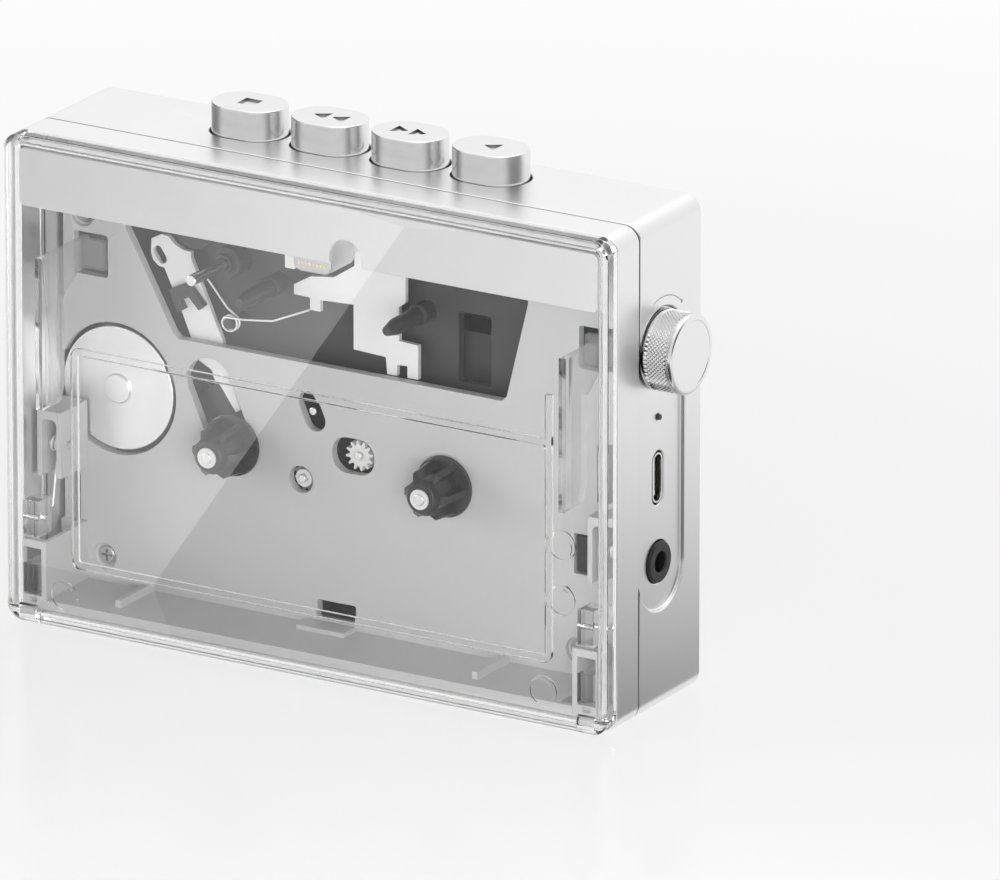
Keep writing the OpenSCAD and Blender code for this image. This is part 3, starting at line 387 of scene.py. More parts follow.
def worn_edges_and_corner_shade():
    """Masks of the edges that hands polish first, and of the concave corners that a finish can darken as
    painted shade.
    """
    tree, given, out = new_group("worn_edges_and_corner_shade", [("Amount", 0.5)], ["Mask", "Corners"])
    shape = new_node(tree, "NewGeometry").outputs["Pointiness"]
    # Corners: concave places, found by pointiness, which a finish darkens as painted shade.
    tree.links.new(remap(tree, shape, 0.42, 0.485, 1.0, 0.0), out["Corners"])
    spot = object_point(tree)
    breaks = new_node(tree, "TexNoise", {"Vector": spot, "Scale": 260.0, "Detail": 3.0}).outputs[0]
    mask = math_node(tree, "MULTIPLY", remap(tree, shape, 0.51, 0.57), breaks)
    tree.links.new(math_node(tree, "MULTIPLY", mask, given["Amount"]), out["Mask"])
    return tree


def turned_rings():
    """Fine rings of a turned face about the Z axis of the given point."""
    tree, given, out = new_group(
        "turned_rings", [("Point", (0.0, 0.0, 0.0)), ("Scale", 9000.0)], ["Height", "Tone"])
    parts = axes(tree, given["Point"])
    reach = vector_math(tree, "LENGTH", flat_point(tree, parts["X"], parts["Y"]))
    inputs = {"W": reach, "Scale": given["Scale"], "Detail": 2.0}
    rings = new_node(tree, "TexNoise", inputs, noise_dimensions="1D").outputs[0]
    tree.links.new(rings, out["Height"])
    tree.links.new(remap(tree, rings, 0.0, 1.0, 0.94, 1.04), out["Tone"])
    return tree


def ring_mark():
    """Raised ring that an ejector pin leaves on a moulding, about an axis along Y."""
    tree, given, out = new_group(
        "ring_mark", [("Centre", (0.0, 0.0, 0.0)), ("Radius", 2.6 * MM)], ["Height"])
    parts = axes(tree, vector_math(tree, "SUBTRACT", object_point(tree), given["Centre"]))
    reach = vector_math(tree, "LENGTH", flat_point(tree, parts["X"], parts["Z"]))
    off = math_node(tree, "ABSOLUTE", math_node(tree, "SUBTRACT", reach, given["Radius"]))
    tree.links.new(remap(tree, off, 0.0, 0.16 * MM, 1.0, 0.0), out["Height"])
    return tree


GROUPS = {
    "surface_grain": surface_grain,
    "worn_edges_and_corner_shade": worn_edges_and_corner_shade,
    "turned_rings": turned_rings,
    "ring_mark": ring_mark,
}


def use_group(tree, name, inputs):
    made = tree.nodes.new("ShaderNodeGroup")
    made.node_tree = bpy.data.node_groups.get(name) or GROUPS[name]()
    for label, value in inputs.items():
        feed(tree, made.inputs[label], value)
    return made.outputs


def new_finish(name):
    material = bpy.data.materials.new(name)
    material.use_nodes = True
    tree = material.node_tree
    tree.nodes.clear()
    shader = new_node(tree, "BsdfPrincipled")
    output = new_node(tree, "OutputMaterial", {"Surface": shader.outputs[0]})
    return material, tree, shader, output


def tinted(tree, colour, factor):
    """A colour times a value that changes over the surface."""
    mix = new_node(tree, "Mix", {"Factor": 1.0, 7: factor}, data_type="RGBA", blend_type="MULTIPLY")
    feed(tree, mix.inputs[6], colour if isinstance(colour, bpy.types.NodeSocket) else (*colour, 1.0))
    return mix.outputs[2]


def darken(tree, tone):
    """Multiplies the colour of a finish by a tone."""
    base = tree.nodes["Principled BSDF"].inputs["Base Color"]
    tree.links.new(tinted(tree, base.links[0].from_socket, tone), base)


def bump(tree, shader, height, distance, strength=1.0, normal=None):
    made = new_node(tree, "Bump", {"Height": height, "Distance": distance * MM, "Strength": strength})
    if normal is not None:
        tree.links.new(normal, made.inputs["Normal"])
    tree.links.new(made.outputs[0], shader.inputs["Normal"])
    return made.outputs[0]


def grained(name, colour, metallic, low, high, scale, depth, patches=0.03, wear=0.0, worn=(0.9, 0.9, 0.9),
            dark=0.0, **plain):
    """A finish with a fine grain: metal that is blasted or brushed, or moulded plastic; it can also have worn
    edges, and painted shade in its concave corners.
    """
    material, tree, shader, _ = new_finish(name)
    grain = use_group(tree, "surface_grain", {"Scale": scale, "Low": low, "High": high, "Patches": patches})
    colour = tinted(tree, colour, grain["Shade"])
    if wear:
        masks = use_group(tree, "worn_edges_and_corner_shade", {"Amount": wear})
        # Painted shade: the concave corners are darkened by the amount given as dark.
        if dark:
            shadow = math_node(tree, "SUBTRACT", 1.0, math_node(tree, "MULTIPLY", masks["Corners"], dark))
            colour = tinted(tree, colour, shadow)
        mix = new_node(tree, "Mix", data_type="RGBA")
        tree.links.new(masks["Mask"], mix.inputs["Factor"])
        tree.links.new(colour, mix.inputs[6])
        mix.inputs[7].default_value = (*worn, 1.0)
        colour = mix.outputs[2]
    tree.links.new(colour, shader.inputs["Base Color"])
    tree.links.new(grain["Roughness"], shader.inputs["Roughness"])
    shader.inputs["Metallic"].default_value = metallic
    for label, value in plain.items():
        shader.inputs[label.replace("_", " ")].default_value = value
    bump(tree, shader, grain["Height"], depth)
    return material


# Printed arc over the volume knob: radius in mm, the angles of its middle and half its sweep, and its end dot
MARK_R, MARK_MIDDLE, MARK_HALF, MARK_DOT = 9.3, 12.0, 31.0, 0.32


def volume_mark(tree, spot):
    """Mask of the arc and the dot that are printed beside the volume knob."""
    centre = knob_middle()
    parts = axes(tree, vector_math(tree, "SUBTRACT", spot, centre * MM))
    flat = flat_point(tree, parts["Y"], parts["Z"])
    off = math_node(tree, "SUBTRACT", vector_math(tree, "LENGTH", flat), MARK_R * MM)
    line = remap(tree, math_node(tree, "ABSOLUTE", off), 0.06 * MM, 0.13 * MM, 1.0, 0.0)
    middle, end = math.radians(MARK_MIDDLE), math.radians(MARK_MIDDLE + MARK_HALF)
    unit = vector_math(tree, "NORMALIZE", flat)
    facing = vector_math(tree, "DOT_PRODUCT", unit, (math.sin(middle), math.cos(middle), 0))
    within = math_node(tree, "GREATER_THAN", facing, math.cos(math.radians(MARK_HALF)))
    tip = (MARK_R * MM * math.sin(end), MARK_R * MM * math.cos(end), 0)
    from_tip = vector_math(tree, "DISTANCE", flat, tip)
    dot = remap(tree, from_tip, MARK_DOT * MM, (MARK_DOT + 0.07) * MM, 1.0, 0.0)
    mark = math_node(tree, "MAXIMUM", math_node(tree, "MULTIPLY", line, within), dot)
    side = math_node(tree, "GREATER_THAN", parts["X"], (node_box("rear_shell")[1].x - 0.05 - centre.x) * MM)
    return math_node(tree, "MULTIPLY", mark, side)


def case_aluminium():
    """Blasted aluminium with painted shade in the open joint of the shells, and with the printed mark of the
    volume knob.
    """
    material = grained(
        "blasted_aluminium", colours().case, 1.0, 0.3, 0.36, 5200.0, 0.004, 0.012, 0.35, (0.95, 0.95, 0.95))
    tree = material.node_tree
    spot = object_point(tree)
    # Painted shade: faces within the open joint between the shells are darkened almost to black.
    joint = (node_box("front_ring")[1].y + JOINT_GAP / 2) * MM
    away = math_node(tree, "ABSOLUTE", math_node(tree, "SUBTRACT", axes(tree, spot)["Y"], joint))
    tone = remap(tree, away, 0.5 * JOINT_GAP * MM, JOINT_GAP * MM, 0.06, 1.0)
    ink = math_node(tree, "SUBTRACT", 1.0, math_node(tree, "MULTIPLY", volume_mark(tree, spot), 0.6))
    darken(tree, math_node(tree, "MULTIPLY", tone, ink))
    return material


# Distance between the middles of two keys, in mm
KEY_STEP = 16.0


def satin_aluminium():
    """Bright metal of the keys, with painted shade on the walls of the cut signs."""
    material = grained(
        "satin_aluminium", colours().keys, 1.0, 0.22, 0.28, 6000.0, 0.001, 0.01, 0.3, (0.96, 0.96, 0.96))
    tree = material.node_tree
    low, high = node_box("play_key")
    spot = axes(tree, object_point(tree))
    facing = axes(tree, new_node(tree, "NewGeometry").outputs["Normal"])["Z"]

    def from_middle(value, middle):
        return math_node(tree, "ABSOLUTE", math_node(tree, "SUBTRACT", value, middle * MM))
    across = from_middle(from_middle(math_node(tree, "ABSOLUTE", spot["X"]), KEY_STEP), KEY_STEP / 2)
    along = from_middle(spot["Y"], (low.y + high.y) / 2)
    # Painted shade: steep faces inside the signs, below the key's top, are darkened.
    shaded_sign_wall = math_node(tree, "LESS_THAN", math_node(tree, "ABSOLUTE", facing), 0.5)
    for value, limit in ((across, 4.2), (along, 2.4), (spot["Z"], high.z - 0.02)):
        shaded_sign_wall = math_node(tree, "MULTIPLY", shaded_sign_wall, math_node(tree, "LESS_THAN", value, limit * MM))
    darken(tree, math_node(tree, "SUBTRACT", 1.0, math_node(tree, "MULTIPLY", shaded_sign_wall, 0.62)))
    return material


def turned(name, colour, middle, turn, axis, low, high, scale=9000.0, anisotropic=0.6):
    """Turned or brushed metal, with rings about an axis through a point in mm."""
    material, tree, shader, _ = new_finish(name)
    centred = vector_math(tree, "SUBTRACT", object_point(tree), Vector(middle) * MM)
    angles = [math.radians(a) for a in turn]
    upright = new_node(tree, "Mapping", {"Vector": centred, "Rotation": angles}).outputs[0]
    rings = use_group(tree, "turned_rings", {"Point": upright, "Scale": scale})
    grain = use_group(tree, "surface_grain", {"Scale": 7000.0, "Low": low, "High": high, "Patches": 0.008})
    tone = math_node(tree, "MULTIPLY", rings["Tone"], grain["Shade"])
    tree.links.new(tinted(tree, colour, tone), shader.inputs["Base Color"])
    tree.links.new(grain["Roughness"], shader.inputs["Roughness"])
    shader.inputs["Metallic"].default_value = 1.0
    shader.inputs["Anisotropic"].default_value = anisotropic
    tangent = new_node(tree, "Tangent", direction_type="RADIAL", axis=axis)
    tree.links.new(tangent.outputs[0], shader.inputs["Tangent"])
    bump(tree, shader, rings["Height"], 0.0008)
    return material


# Places of the ejector marks on the lid, in mm across and up
EJECTOR_MARKS = ((-48.5, 6.2), (47.3, 6.4), (50.9, 33.2), (50.9, 23.4))


def clear_acrylic():
    """Clear moulded plastic, slightly wavy, with ejector marks; light passes it to what lies behind."""
    material, tree, shader, output = new_finish("clear_acrylic")
    shader.inputs["Base Color"].default_value = (0.99, 0.99, 0.99, 1.0)
    shader.inputs["Transmission Weight"].default_value = 1.0
    shader.inputs["IOR"].default_value = 1.52
    grain = use_group(tree, "surface_grain", {"Scale": 30.0, "Low": 0.0, "High": 0.015, "Patches": 0.0})
    tree.links.new(grain["Roughness"], shader.inputs["Roughness"])
    wave = bump(tree, shader, grain["Height"], 0.002, 0.3)
    marks = None
    for across, up in EJECTOR_MARKS:
        ring = use_group(tree, "ring_mark", {"Centre": Vector((across, 0, up)) * MM})["Height"]
        marks = ring if marks is None else math_node(tree, "MAXIMUM", marks, ring)
    bump(tree, shader, marks, 0.06, 1.0, wave)
    path = new_node(tree, "LightPath").outputs
    through = math_node(tree, "MAXIMUM", path["Is Shadow Ray"], path["Is Diffuse Ray"])
    depth = axes(tree, object_point(tree))["Y"]
    plate_back = (node_box("lid")[0].y + 4.0) * MM
    behind = math_node(tree, "MULTIPLY", math_node(tree, "GREATER_THAN", depth, plate_back), 0.6)
    through = math_node(tree, "MAXIMUM", through, behind)
    frosted = new_node(tree, "BsdfDiffuse", {"Color": (0.9, 0.9, 0.9, 1.0)})
    clouded = new_node(tree, "MixShader", {
        0: math_node(tree, "MULTIPLY", behind, 0.6), 1: shader.outputs[0], 2: frosted.outputs[0]})
    passing = new_node(tree, "BsdfTransparent", {"Color": (0.955, 0.955, 0.955, 1.0)})
    mix = new_node(tree, "MixShader", {0: through, 1: clouded.outputs[0], 2: passing.outputs[0]})
    tree.links.new(mix.outputs[0], output.inputs["Surface"])
    return material


def board_green():
    """Solder mask over faint tracks."""
    material, tree, shader, _ = new_finish("board_green")
    tracks = new_node(tree, "TexBrick", {
        "Vector": object_point(tree), "Scale": 160.0,
        "Color1": (0.008, 0.016, 0.012, 1), "Color2": (0.007, 0.014, 0.01, 1),
        "Mortar": (0.016, 0.03, 0.022, 1), "Mortar Size": 0.08})
    tree.links.new(tracks.outputs["Color"], shader.inputs["Base Color"])
    grain = use_group(tree, "surface_grain", {"Scale": 1500.0, "Low": 0.25, "High": 0.4, "Patches": 0.02})
    tree.links.new(grain["Roughness"], shader.inputs["Roughness"])
    bump(tree, shader, tracks.outputs["Fac"], 0.02)
    return material


FINISHES = {
    "blasted_aluminium": case_aluminium,
    "satin_aluminium": satin_aluminium,
    "turned_aluminium": lambda: turned(
        "turned_aluminium", colours().keys, knob_middle(), (0, -90, 0), "X", 0.18, 0.24, 7000.0, 0.3),
    "clear_acrylic": clear_acrylic,
    "deck_plastic": lambda: grained(
        "deck_plastic", colours().deck, 0.0, 0.42, 0.5, 3600.0, 0.001, 0.015),
    "cover_plastic": lambda: grained(
        "cover_plastic", colours().cover, 0.0, 0.36, 0.44, 3600.0, 0.0008, 0.01),
    "chassis_plastic": lambda: grained(
        "chassis_plastic", colours().chassis, 0.0, 0.4, 0.48, 900.0, 0.0008, 0.03),
    "hub_plastic": lambda: grained(
        "hub_plastic", colours().hubs, 0.0, 0.14, 0.24, 700.0, 0.001, 0.05, 0.25, (0.2, 0.2, 0.2)),
    "socket_plastic": lambda: grained(
        "socket_plastic", (0.012, 0.012, 0.013), 0.0, 0.28, 0.4, 3000.0, 0.006, 0.05),
    "milky_plastic": lambda: grained(
        "milky_plastic", (0.84, 0.84, 0.83), 0.0, 0.32, 0.42, 3000.0, 0.006, 0.02),
    "plated_sheet": lambda: grained(
        "plated_sheet", (0.95, 0.95, 0.95), 0.15, 0.28, 0.38, 2600.0, 0.002, 0.012),
    "bright_steel": lambda: grained(
        "bright_steel", (0.86, 0.86, 0.86), 1.0, 0.14, 0.24, 2600.0, 0.002, 0.03),
    # Screw steel with painted shade in its concave corners, such as the cross recess.
    "screw_steel": lambda: grained(
        "screw_steel", (0.62, 0.62, 0.63), 1.0, 0.1, 0.18, 2600.0, 0.001, 0.03, 0.4, (0.9, 0.9, 0.9), 0.9),
    "spring_wire": lambda: grained(
        "spring_wire", (0.96, 0.96, 0.95), 0.3, 0.16, 0.28, 2600.0, 0.001, 0.02),
    "motor_can": lambda: turned(
        "motor_can", (0.95, 0.95, 0.95), motor_middle(), (90, 0, 0), "Y", 0.3, 0.36, 6000.0, 0.6),
    "turned_brass": lambda: grained("turned_brass", (0.72, 0.52, 0.24), 1.0, 0.22, 0.36, 2400.0, 0.003, 0.05),
    "gold_contact": lambda: grained("gold_contact", (0.86, 0.72, 0.44), 1.0, 0.18, 0.3, 2400.0, 0.002, 0.04),
    "soft_rubber": lambda: grained("soft_rubber", (0.035, 0.035, 0.036), 0.0, 0.55, 0.7, 2200.0, 0.02, 0.06),
    "head_metal": lambda: grained("head_metal", (0.62, 0.62, 0.63), 1.0, 0.24, 0.36, 2400.0, 0.004, 0.04),
    "smoked_lens": lambda: grained("smoked_lens", (0.05, 0.05, 0.05), 0.0, 0.08, 0.18, 900.0, 0.002, 0.03),
    "battery_film": lambda: grained("battery_film", (0.03, 0.03, 0.032), 0.0, 0.3, 0.42, 380.0, 0.01, 0.05),
    "board_green": board_green,
}


def finish_named(name):
    """A finish by name, made when it is first asked for."""
    return bpy.data.materials.get(name) or FINISHES[name]()


def knob_middle():
    low, high = node_box("volume_knob")
    return (low + high) / 2


def motor_middle():
    low, high = node_box("motor_pulley")
    return (low + high) / 2


# Pieces

class PlayerOperator(bpy.types.Operator):
    bl_options = {"REGISTER", "UNDO"}


class PLAYER_OT_case(PlayerOperator):
    """Rear shell, front ring and back plate of bead-blasted aluminium"""
    bl_idname = "player.case"
    bl_label = "Case"

    def execute(self, context):
        dress("rear_shell", "blasted_aluminium", size("case_edge"), 3)
        dress("front_ring", "blasted_aluminium", 0.8 * size("case_edge"), 3)
        dress("back_plate", "blasted_aluminium", 0.12, 2)
        return {"FINISHED"}


class PLAYER_OT_lid(PlayerOperator):
    """Clear lid with its rim, rib, arms and lugs, and the pins in the lugs"""
    bl_idname = "player.lid"
    bl_label = "Lid"

    def execute(self, context):
        dress("lid", "clear_acrylic", size("lid_edge"), 2)
        dress("lug_pins", "bright_steel", 0.08)
        dress("hinge_pins", "bright_steel", 0.08)
        return {"FINISHED"}


def sign_tools(sign, x, y, top, depth):
    """Tools that cut a key's sign: a square, or arrows that point to one side."""
    shifts, side = sign
    tools = []
    for shift in shifts:
        clear_selection()
        spot = Vector((x + shift, y, top))
        if side == 0:
            bpy.ops.mesh.primitive_cube_add(
                size=1, location=spot * MM, scale=(SQUARE * MM, SQUARE * MM, 2 * depth * MM))
        else:
            spot.x -= side * ARROW_L / 6
            bpy.ops.mesh.primitive_cylinder_add(
                vertices=3, radius=ARROW_L / 1.5 * MM, depth=2 * depth * MM, location=spot * MM,
                rotation=(0, 0, math.radians(-90 * side)), scale=(ARROW_H * math.sqrt(3) / ARROW_L, 1, 1))
        tools.append(begin("sign_tool"))
    return tools


class PLAYER_OT_keys(PlayerOperator):
    """Four oblong keys with their stems and cut signs"""
    bl_idname = "player.keys"
    bl_label = "Keys"

    signs = (
        ("stop_key", ((0.0,), 0)),
        ("rewind_key", ((-1.82, 1.82), -1)),
        ("forward_key", ((-1.82, 1.82), 1)),
        ("play_key", ((0.0,), -1)),
    )

    def execute(self, context):
        for node, sign in self.signs:
            self.key(node, sign)
        return {"FINISHED"}

    def key(self, node, sign):
        low, high = node_box(node)
        x, y = (low.x + high.x) / 2, (low.y + high.y) / 2
        depth = high.y - low.y
        width, stem, foot, top = 13.8, 2.0, high.z - 8.3, high.z
        half = (width - depth) / 2
        clear_selection()
        bpy.ops.mesh.primitive_cylinder_add(
            vertices=96, radius=depth / 2 * MM, depth=(top - foot) * MM,
            rotation=(0, 0, math.radians(180 / 96)), location=(x * MM, y * MM, (top + foot) / 2 * MM))
        key = begin(node + "_cap")
        for side in (-1, 1):
            select(key, "VERT", lambda p, n: (p.x - x) * side > 0)
            bpy.ops.transform.translate(value=(side * half * MM, 0, 0))
        select(key, "EDGE", lambda p, n: p.z > top - 0.01)
        bpy.ops.mesh.bevel(offset=size("key_edge") * MM, segments=4, affect="EDGES")
        select(key, "FACE", lambda p, n: n.z < -0.9)
        bpy.ops.mesh.inset(thickness=(depth / 2 - stem) * MM)
        for side in (-1, 1):
            select(key, "VERT", lambda p, n: p.z < foot + 0.01 and (p.x - x) * side > 0
                   and (p - Vector((x, y, p.z))).length < stem + half + 0.01)
            bpy.ops.transform.translate(value=(-side * half * MM, 0, 0))
        select(key, "FACE", lambda p, n: n.z < -0.9 and abs(p.x - x) < 0.2)
        bpy.ops.mesh.extrude_region_move(TRANSFORM_OT_translate={"value": (0, 0, (low.z - foot) * MM)})
        leave_edit()
        clear_selection()
        bpy.ops.mesh.primitive_cube_add(
            size=1, location=(x * MM, y * MM, (foot + 0.51) * MM),
            scale=((width + 1.6) * MM, 5 * MM, 0.98 * MM))
        collar = begin("key_collar")
        combine(key, collar, "UNION")
        clear_selection()
        for tool in sign_tools(sign, x, y, top, size("sign_depth")):
            combine(key, tool, "DIFFERENCE")
        shade(key, 30)
        place(key, "satin_aluminium", node, [node])


class PLAYER_OT_knob(PlayerOperator):
    """Turned volume knob with a knurled rim"""
    bl_idname = "player.knob"
    bl_label = "Volume knob"

    def execute(self, context):
        low, high = node_box("volume_knob")
        middle = (low + high) / 2
        radius = (high.z - low.z) / 2
        columns = 2 * context.scene.player_sizes.knurls
        clear_selection()
        bpy.ops.mesh.primitive_cylinder_add(
            vertices=columns, radius=radius * MM, depth=(high.x - low.x) * MM, location=middle * MM,
            rotation=(0, math.radians(90), 0))
        knob = begin("volume_knob_turned")
        select(knob, "EDGE", lambda p, n: p.x > high.x - 0.01)
        bpy.ops.mesh.bevel(offset=0.6 * MM, segments=5, affect="EDGES")
        select(knob, "EDGE", lambda p, n: p.x < low.x + 0.01)
        bpy.ops.mesh.bevel(offset=0.3 * MM, segments=3, affect="EDGES")
        start, end = low.x + 0.7, high.x - 0.95
        for x in (start, end):
            select_all(knob)
            bpy.ops.mesh.bisect(plane_co=(x * MM, 0, 0), plane_no=(1, 0, 0))
        rows = context.scene.player_sizes.knurl_rows
        select(knob, "EDGE", lambda p, n: abs(n.x) > 0.99 and start < p.x < end)
        bpy.ops.mesh.subdivide(number_cuts=rows - 1)
        step = (end - start) / rows

        def valley(p, n):
            row = round((p.x - start) / step)
            column = round(math.atan2(p.z - middle.z, p.y - middle.y) * columns / math.tau)
            return 0 < row < rows and start < p.x < end and (row + column) % 2
        select(knob, "VERT", valley)
        shrink = 1 - size("knurl_depth") / radius
        bpy.ops.transform.resize(value=(1, shrink, shrink), center_override=middle * MM)
        select(knob, "FACE", lambda p, n: start < p.x < end and abs(n.x) < 0.9)
        bpy.ops.mesh.quads_convert_to_tris(quad_method="SHORTEST_DIAGONAL")
        bore = (node_box("volume_shaft")[1].z - node_box("volume_shaft")[0].z) / 2 + 0.02
        select(knob, "FACE", lambda p, n: n.x < -0.99)
        bpy.ops.mesh.inset(thickness=(radius - 0.3 - bore) * MM)
        bpy.ops.mesh.extrude_region_move(
            TRANSFORM_OT_translate={"value": ((node_box("volume_shaft")[1].x + 0.1 - low.x) * MM, 0, 0)})
        select(knob, "FACE", lambda p, n: n.x > 0.99 and p.x > high.x - 0.01)
        bpy.ops.mesh.inset(thickness=0.45 * MM)
        bpy.ops.mesh.inset(thickness=0.12 * MM, depth=-0.06 * MM)
        leave_edit()
        shade(knob, 24)
        place(knob, "turned_aluminium", "volume_knob", ["volume_knob"])
        return {"FINISHED"}


# Radius and height of the deck screws' heads, and radius of the holes that they are sunk in
HEAD_R, HEAD_T, SINK_R = 1.6, 0.7, 1.95


def screw_axes():
    """Axes of the deck screws, read from the middles of the node's separate heads."""
    groups = []
    for point in (v.co / MM for v in frame["nodes"]["deck_screws"].data.vertices):
        for group in groups:
            if math.hypot(point.x - group[0].x, point.z - group[0].z) < 4.0:
                group.append(point)
                break
        else:
            groups.append([point])
    return [((min(p.x for p in g) + max(p.x for p in g)) / 2, (min(p.z for p in g) + max(p.z for p in g)) / 2)
            for g in groups]


class PLAYER_OT_deck(PlayerOperator):
    """Deck, head cover, brackets and spring blocks of grey plastic"""
    bl_idname = "player.deck"
    bl_label = "Deck"

    def execute(self, context):
        edge = size("mould_edge")
        self.deck(edge)
        dress("head_cover", "cover_plastic", 1.3 * edge, 3)
        for side in ("left", "right"):
            dress("hinge_bracket_" + side, "deck_plastic", 0.4 * edge)
            dress("spring_block_" + side, "deck_plastic", edge)
        dress("chassis", "chassis_plastic", edge)
        return {"FINISHED"}

    def deck(self, edge):
        """The deck with its screw holes sunk to a second step."""
        deck = copy_of("deck")
        face = node_box("deck_screws")[0].y
        for x, z in screw_axes():
            clear_selection()
            bpy.ops.mesh.primitive_cylinder_add(
                vertices=48, radius=SINK_R * MM, depth=2 * (size("screw_sink") + HEAD_T) * MM,
                rotation=(math.radians(90), 0, 0), location=(x * MM, face * MM, z * MM))
            combine(deck, begin("sink_tool"), "DIFFERENCE", "MANIFOLD")
        round_edges(deck, edge, loop_slide=False)
        shade(deck)
        place(deck, "deck_plastic", "deck", ["deck"])


class PLAYER_OT_screws(PlayerOperator):
    """Cross-head screws of the deck"""
    bl_idname = "player.screws"
    bl_label = "Deck screws"

    shank_r = 0.75

    def execute(self, context):
        spots = screw_axes()
        x, z = spots[0]
        low, high = node_box("deck_screws")
        face = low.y + size("screw_sink") - 0.1
        clear_selection()
        bpy.ops.mesh.primitive_cylinder_add(
            vertices=48, radius=HEAD_R * MM, depth=HEAD_T * MM, rotation=(math.radians(90), 0, 0),
            location=(x * MM, (face + HEAD_T / 2) * MM, z * MM))
        screw = begin("deck_screws_turned")
        select(screw, "EDGE", lambda p, n: p.y < face + 0.01)
        bpy.ops.mesh.bevel(offset=0.4 * MM, segments=4, affect="EDGES")
        select(screw, "FACE", lambda p, n: n.y > 0.9)
        bpy.ops.mesh.inset(thickness=(HEAD_R - self.shank_r) * MM)
        bpy.ops.mesh.extrude_region_move(
            TRANSFORM_OT_translate={"value": (0, (high.y - face - HEAD_T) * MM, 0)})
        leave_edit()
        for across, up in ((2.1, 0.46), (0.46, 2.1)):
            clear_selection()
            bpy.ops.mesh.primitive_cube_add(
                size=1, location=(x * MM, face * MM, z * MM), scale=(across * MM, 1.1 * MM, up * MM))
            combine(screw, begin("cross_tool"), "DIFFERENCE")
        shade(screw)
        copies = [copy_by(screw, (spot[0] - x, 0, spot[1] - z)) for spot in spots[1:]]
        screws = join([screw] + copies, "deck_screws_turned")
        place(screws, "screw_steel", "deck_screws", ["deck_screws"])
        return {"FINISHED"}


class PLAYER_OT_springs(PlayerOperator):
    """Wire springs of the lid and of the slide, and the pins of the lid springs"""
    bl_idname = "player.springs"
    bl_label = "Springs"

    turn_points = 28

    def execute(self, context):
        dress("spring_pins", "bright_steel", 0.1)
        springs = [self.lid_spring(side) for side in (-1, 1)]
        place(join(springs, "lid_springs_wound"), "spring_wire", "lid_springs", ["lid_springs"])
        place(self.slide_spring(), "spring_wire", "slide_spring", ["slide_spring"])
        return {"FINISHED"}

    def lid_spring(self, side):
        """Coil on its pin, one leg against the block and one behind the lug."""
        pin_low, pin_high = node_box("spring_pins")
        y, z = (pin_low.y + pin_high.y) / 2, (pin_low.z + pin_high.z) / 2
        block_low, block_high = node_box("spring_block_right")
        middle = side * (block_low.x + block_high.x) / 2
        deck_y = block_high.y
        low, high = node_box("lid_springs")
        turns, pitch, coil_r, wire_r = 19 / 8, 0.84, 1.35, 0.2
        start = middle - turns * pitch / 2
        points = [(start, deck_y - 3.2, z + 3.4), (start, deck_y - 3.9, z + 1.6)]
        count = round(turns * self.turn_points)
        for i in range(count + 1):
            angle = math.radians(45 - 360 * i / self.turn_points)
            along = start + pitch * i / self.turn_points
            points.append((along, y + coil_r * math.cos(angle), z + coil_r * math.sin(angle)))
        end = start + pitch * turns
        points += [(end, y - 1.9, z - 3.0), (end, low.y + 0.2, low.z + 0.2)]
        return wire("lid_spring", points, wire_r)

    def slide_spring(self):
        """Coil on its post with two long legs."""
        low, high = node_box("slide_spring")
        wire_r, coil_r, pitch = 0.2, 1.35, 0.86
        x, z, back = high.x - 16.2, high.z - 6.9 - 0.1, high.y - wire_r
        points = [(x - 5.2, back, z + 6.9), (x - 1.1, back, z + 2.2)]
        count = round(15 / 8 * self.turn_points)
        for i in range(count + 1):
            angle = math.radians(70 - 360 * i / self.turn_points)
            along = back - pitch * i / self.turn_points
            points.append((x + coil_r * math.cos(angle), along, z + coil_r * math.sin(angle)))
        front = back - pitch * 15 / 8
        points += [(x + 3.1, front, z + 1.3), (x + 9.0, front, z + 2.1), (x + 16.2, front, z + 5.3)]
        return wire("slide_spring_wound", points, wire_r)


class PLAYER_OT_reels(PlayerOperator):
    """Reel hubs, their axles and washers, and the gears that show in the deck"""
    bl_idname = "player.reels"
    bl_label = "Reels and gears"

    def execute(self, context):
        for side in ("left", "right"):
            dress("reel_hub_" + side, "hub_plastic", 0.16)
        dress("reel_axles", "bright_steel", 0.2, 3)
        dress("reel_washers", "milky_plastic", 0.06)
        dress("gear_pins", "bright_steel", 0.16, 3)
        dress("idler_gear", "milky_plastic", 0.05)
        dress("transfer_gear", "milky_plastic", 0.05)
        return {"FINISHED"}


class PLAYER_OT_mechanism(PlayerOperator):
    """Motor, capstan, levers, head and pinch roller"""
    bl_idname = "player.mechanism"
    bl_label = "Tape mechanism"

    def execute(self, context):
        sheet = size("sheet_edge")
        dress("motor", "motor_can", 0.25, 3)
        dress("capstan", "bright_steel", 0.25, 3)
        dress("capstan_bearing", "chassis_plastic", 0.15)
        for node in ("head_slide", "brake_lever", "pinch_arm"):
            dress(node, "plated_sheet", sheet)
        dress("brake_pad", "chassis_plastic", 0.12)
        dress("tape_head", "head_metal", 0.35, 3)
        dress("tape_guide", "milky_plastic", 0.12)
        dress("pinch_roller", "soft_rubber", 0.35, 3)
        dress("pinch_pin", "bright_steel", 0.2)
        dress("flywheel", "bright_steel", 0.15)
        dress("motor_pulley", "turned_brass", 0.1)
        self.contacts()
        return {"FINISHED"}

    def contacts(self):
        """Gold contacts on the front of the head."""
        low, high = node_box("tape_head")
        count, pitch = 8, 0.72
        start = (low.x + high.x) / 2 - (count - 1) * pitch / 2
        clear_selection()
        bpy.ops.mesh.primitive_cube_add(
            size=1, location=(start * MM, (low.y - 0.04) * MM, (low.z + 1.5) * MM),
            scale=(0.4 * MM, 0.14 * MM, 0.55 * MM))
        first = begin("head_contacts")
        round_edges(first, 0.05)
        copies = [copy_by(first, (i * pitch, 0, 0)) for i in range(1, count)]
        contacts = join([first] + copies, "head_contacts")
        shade(contacts)
        place(contacts, "gold_contact", "tape_head")


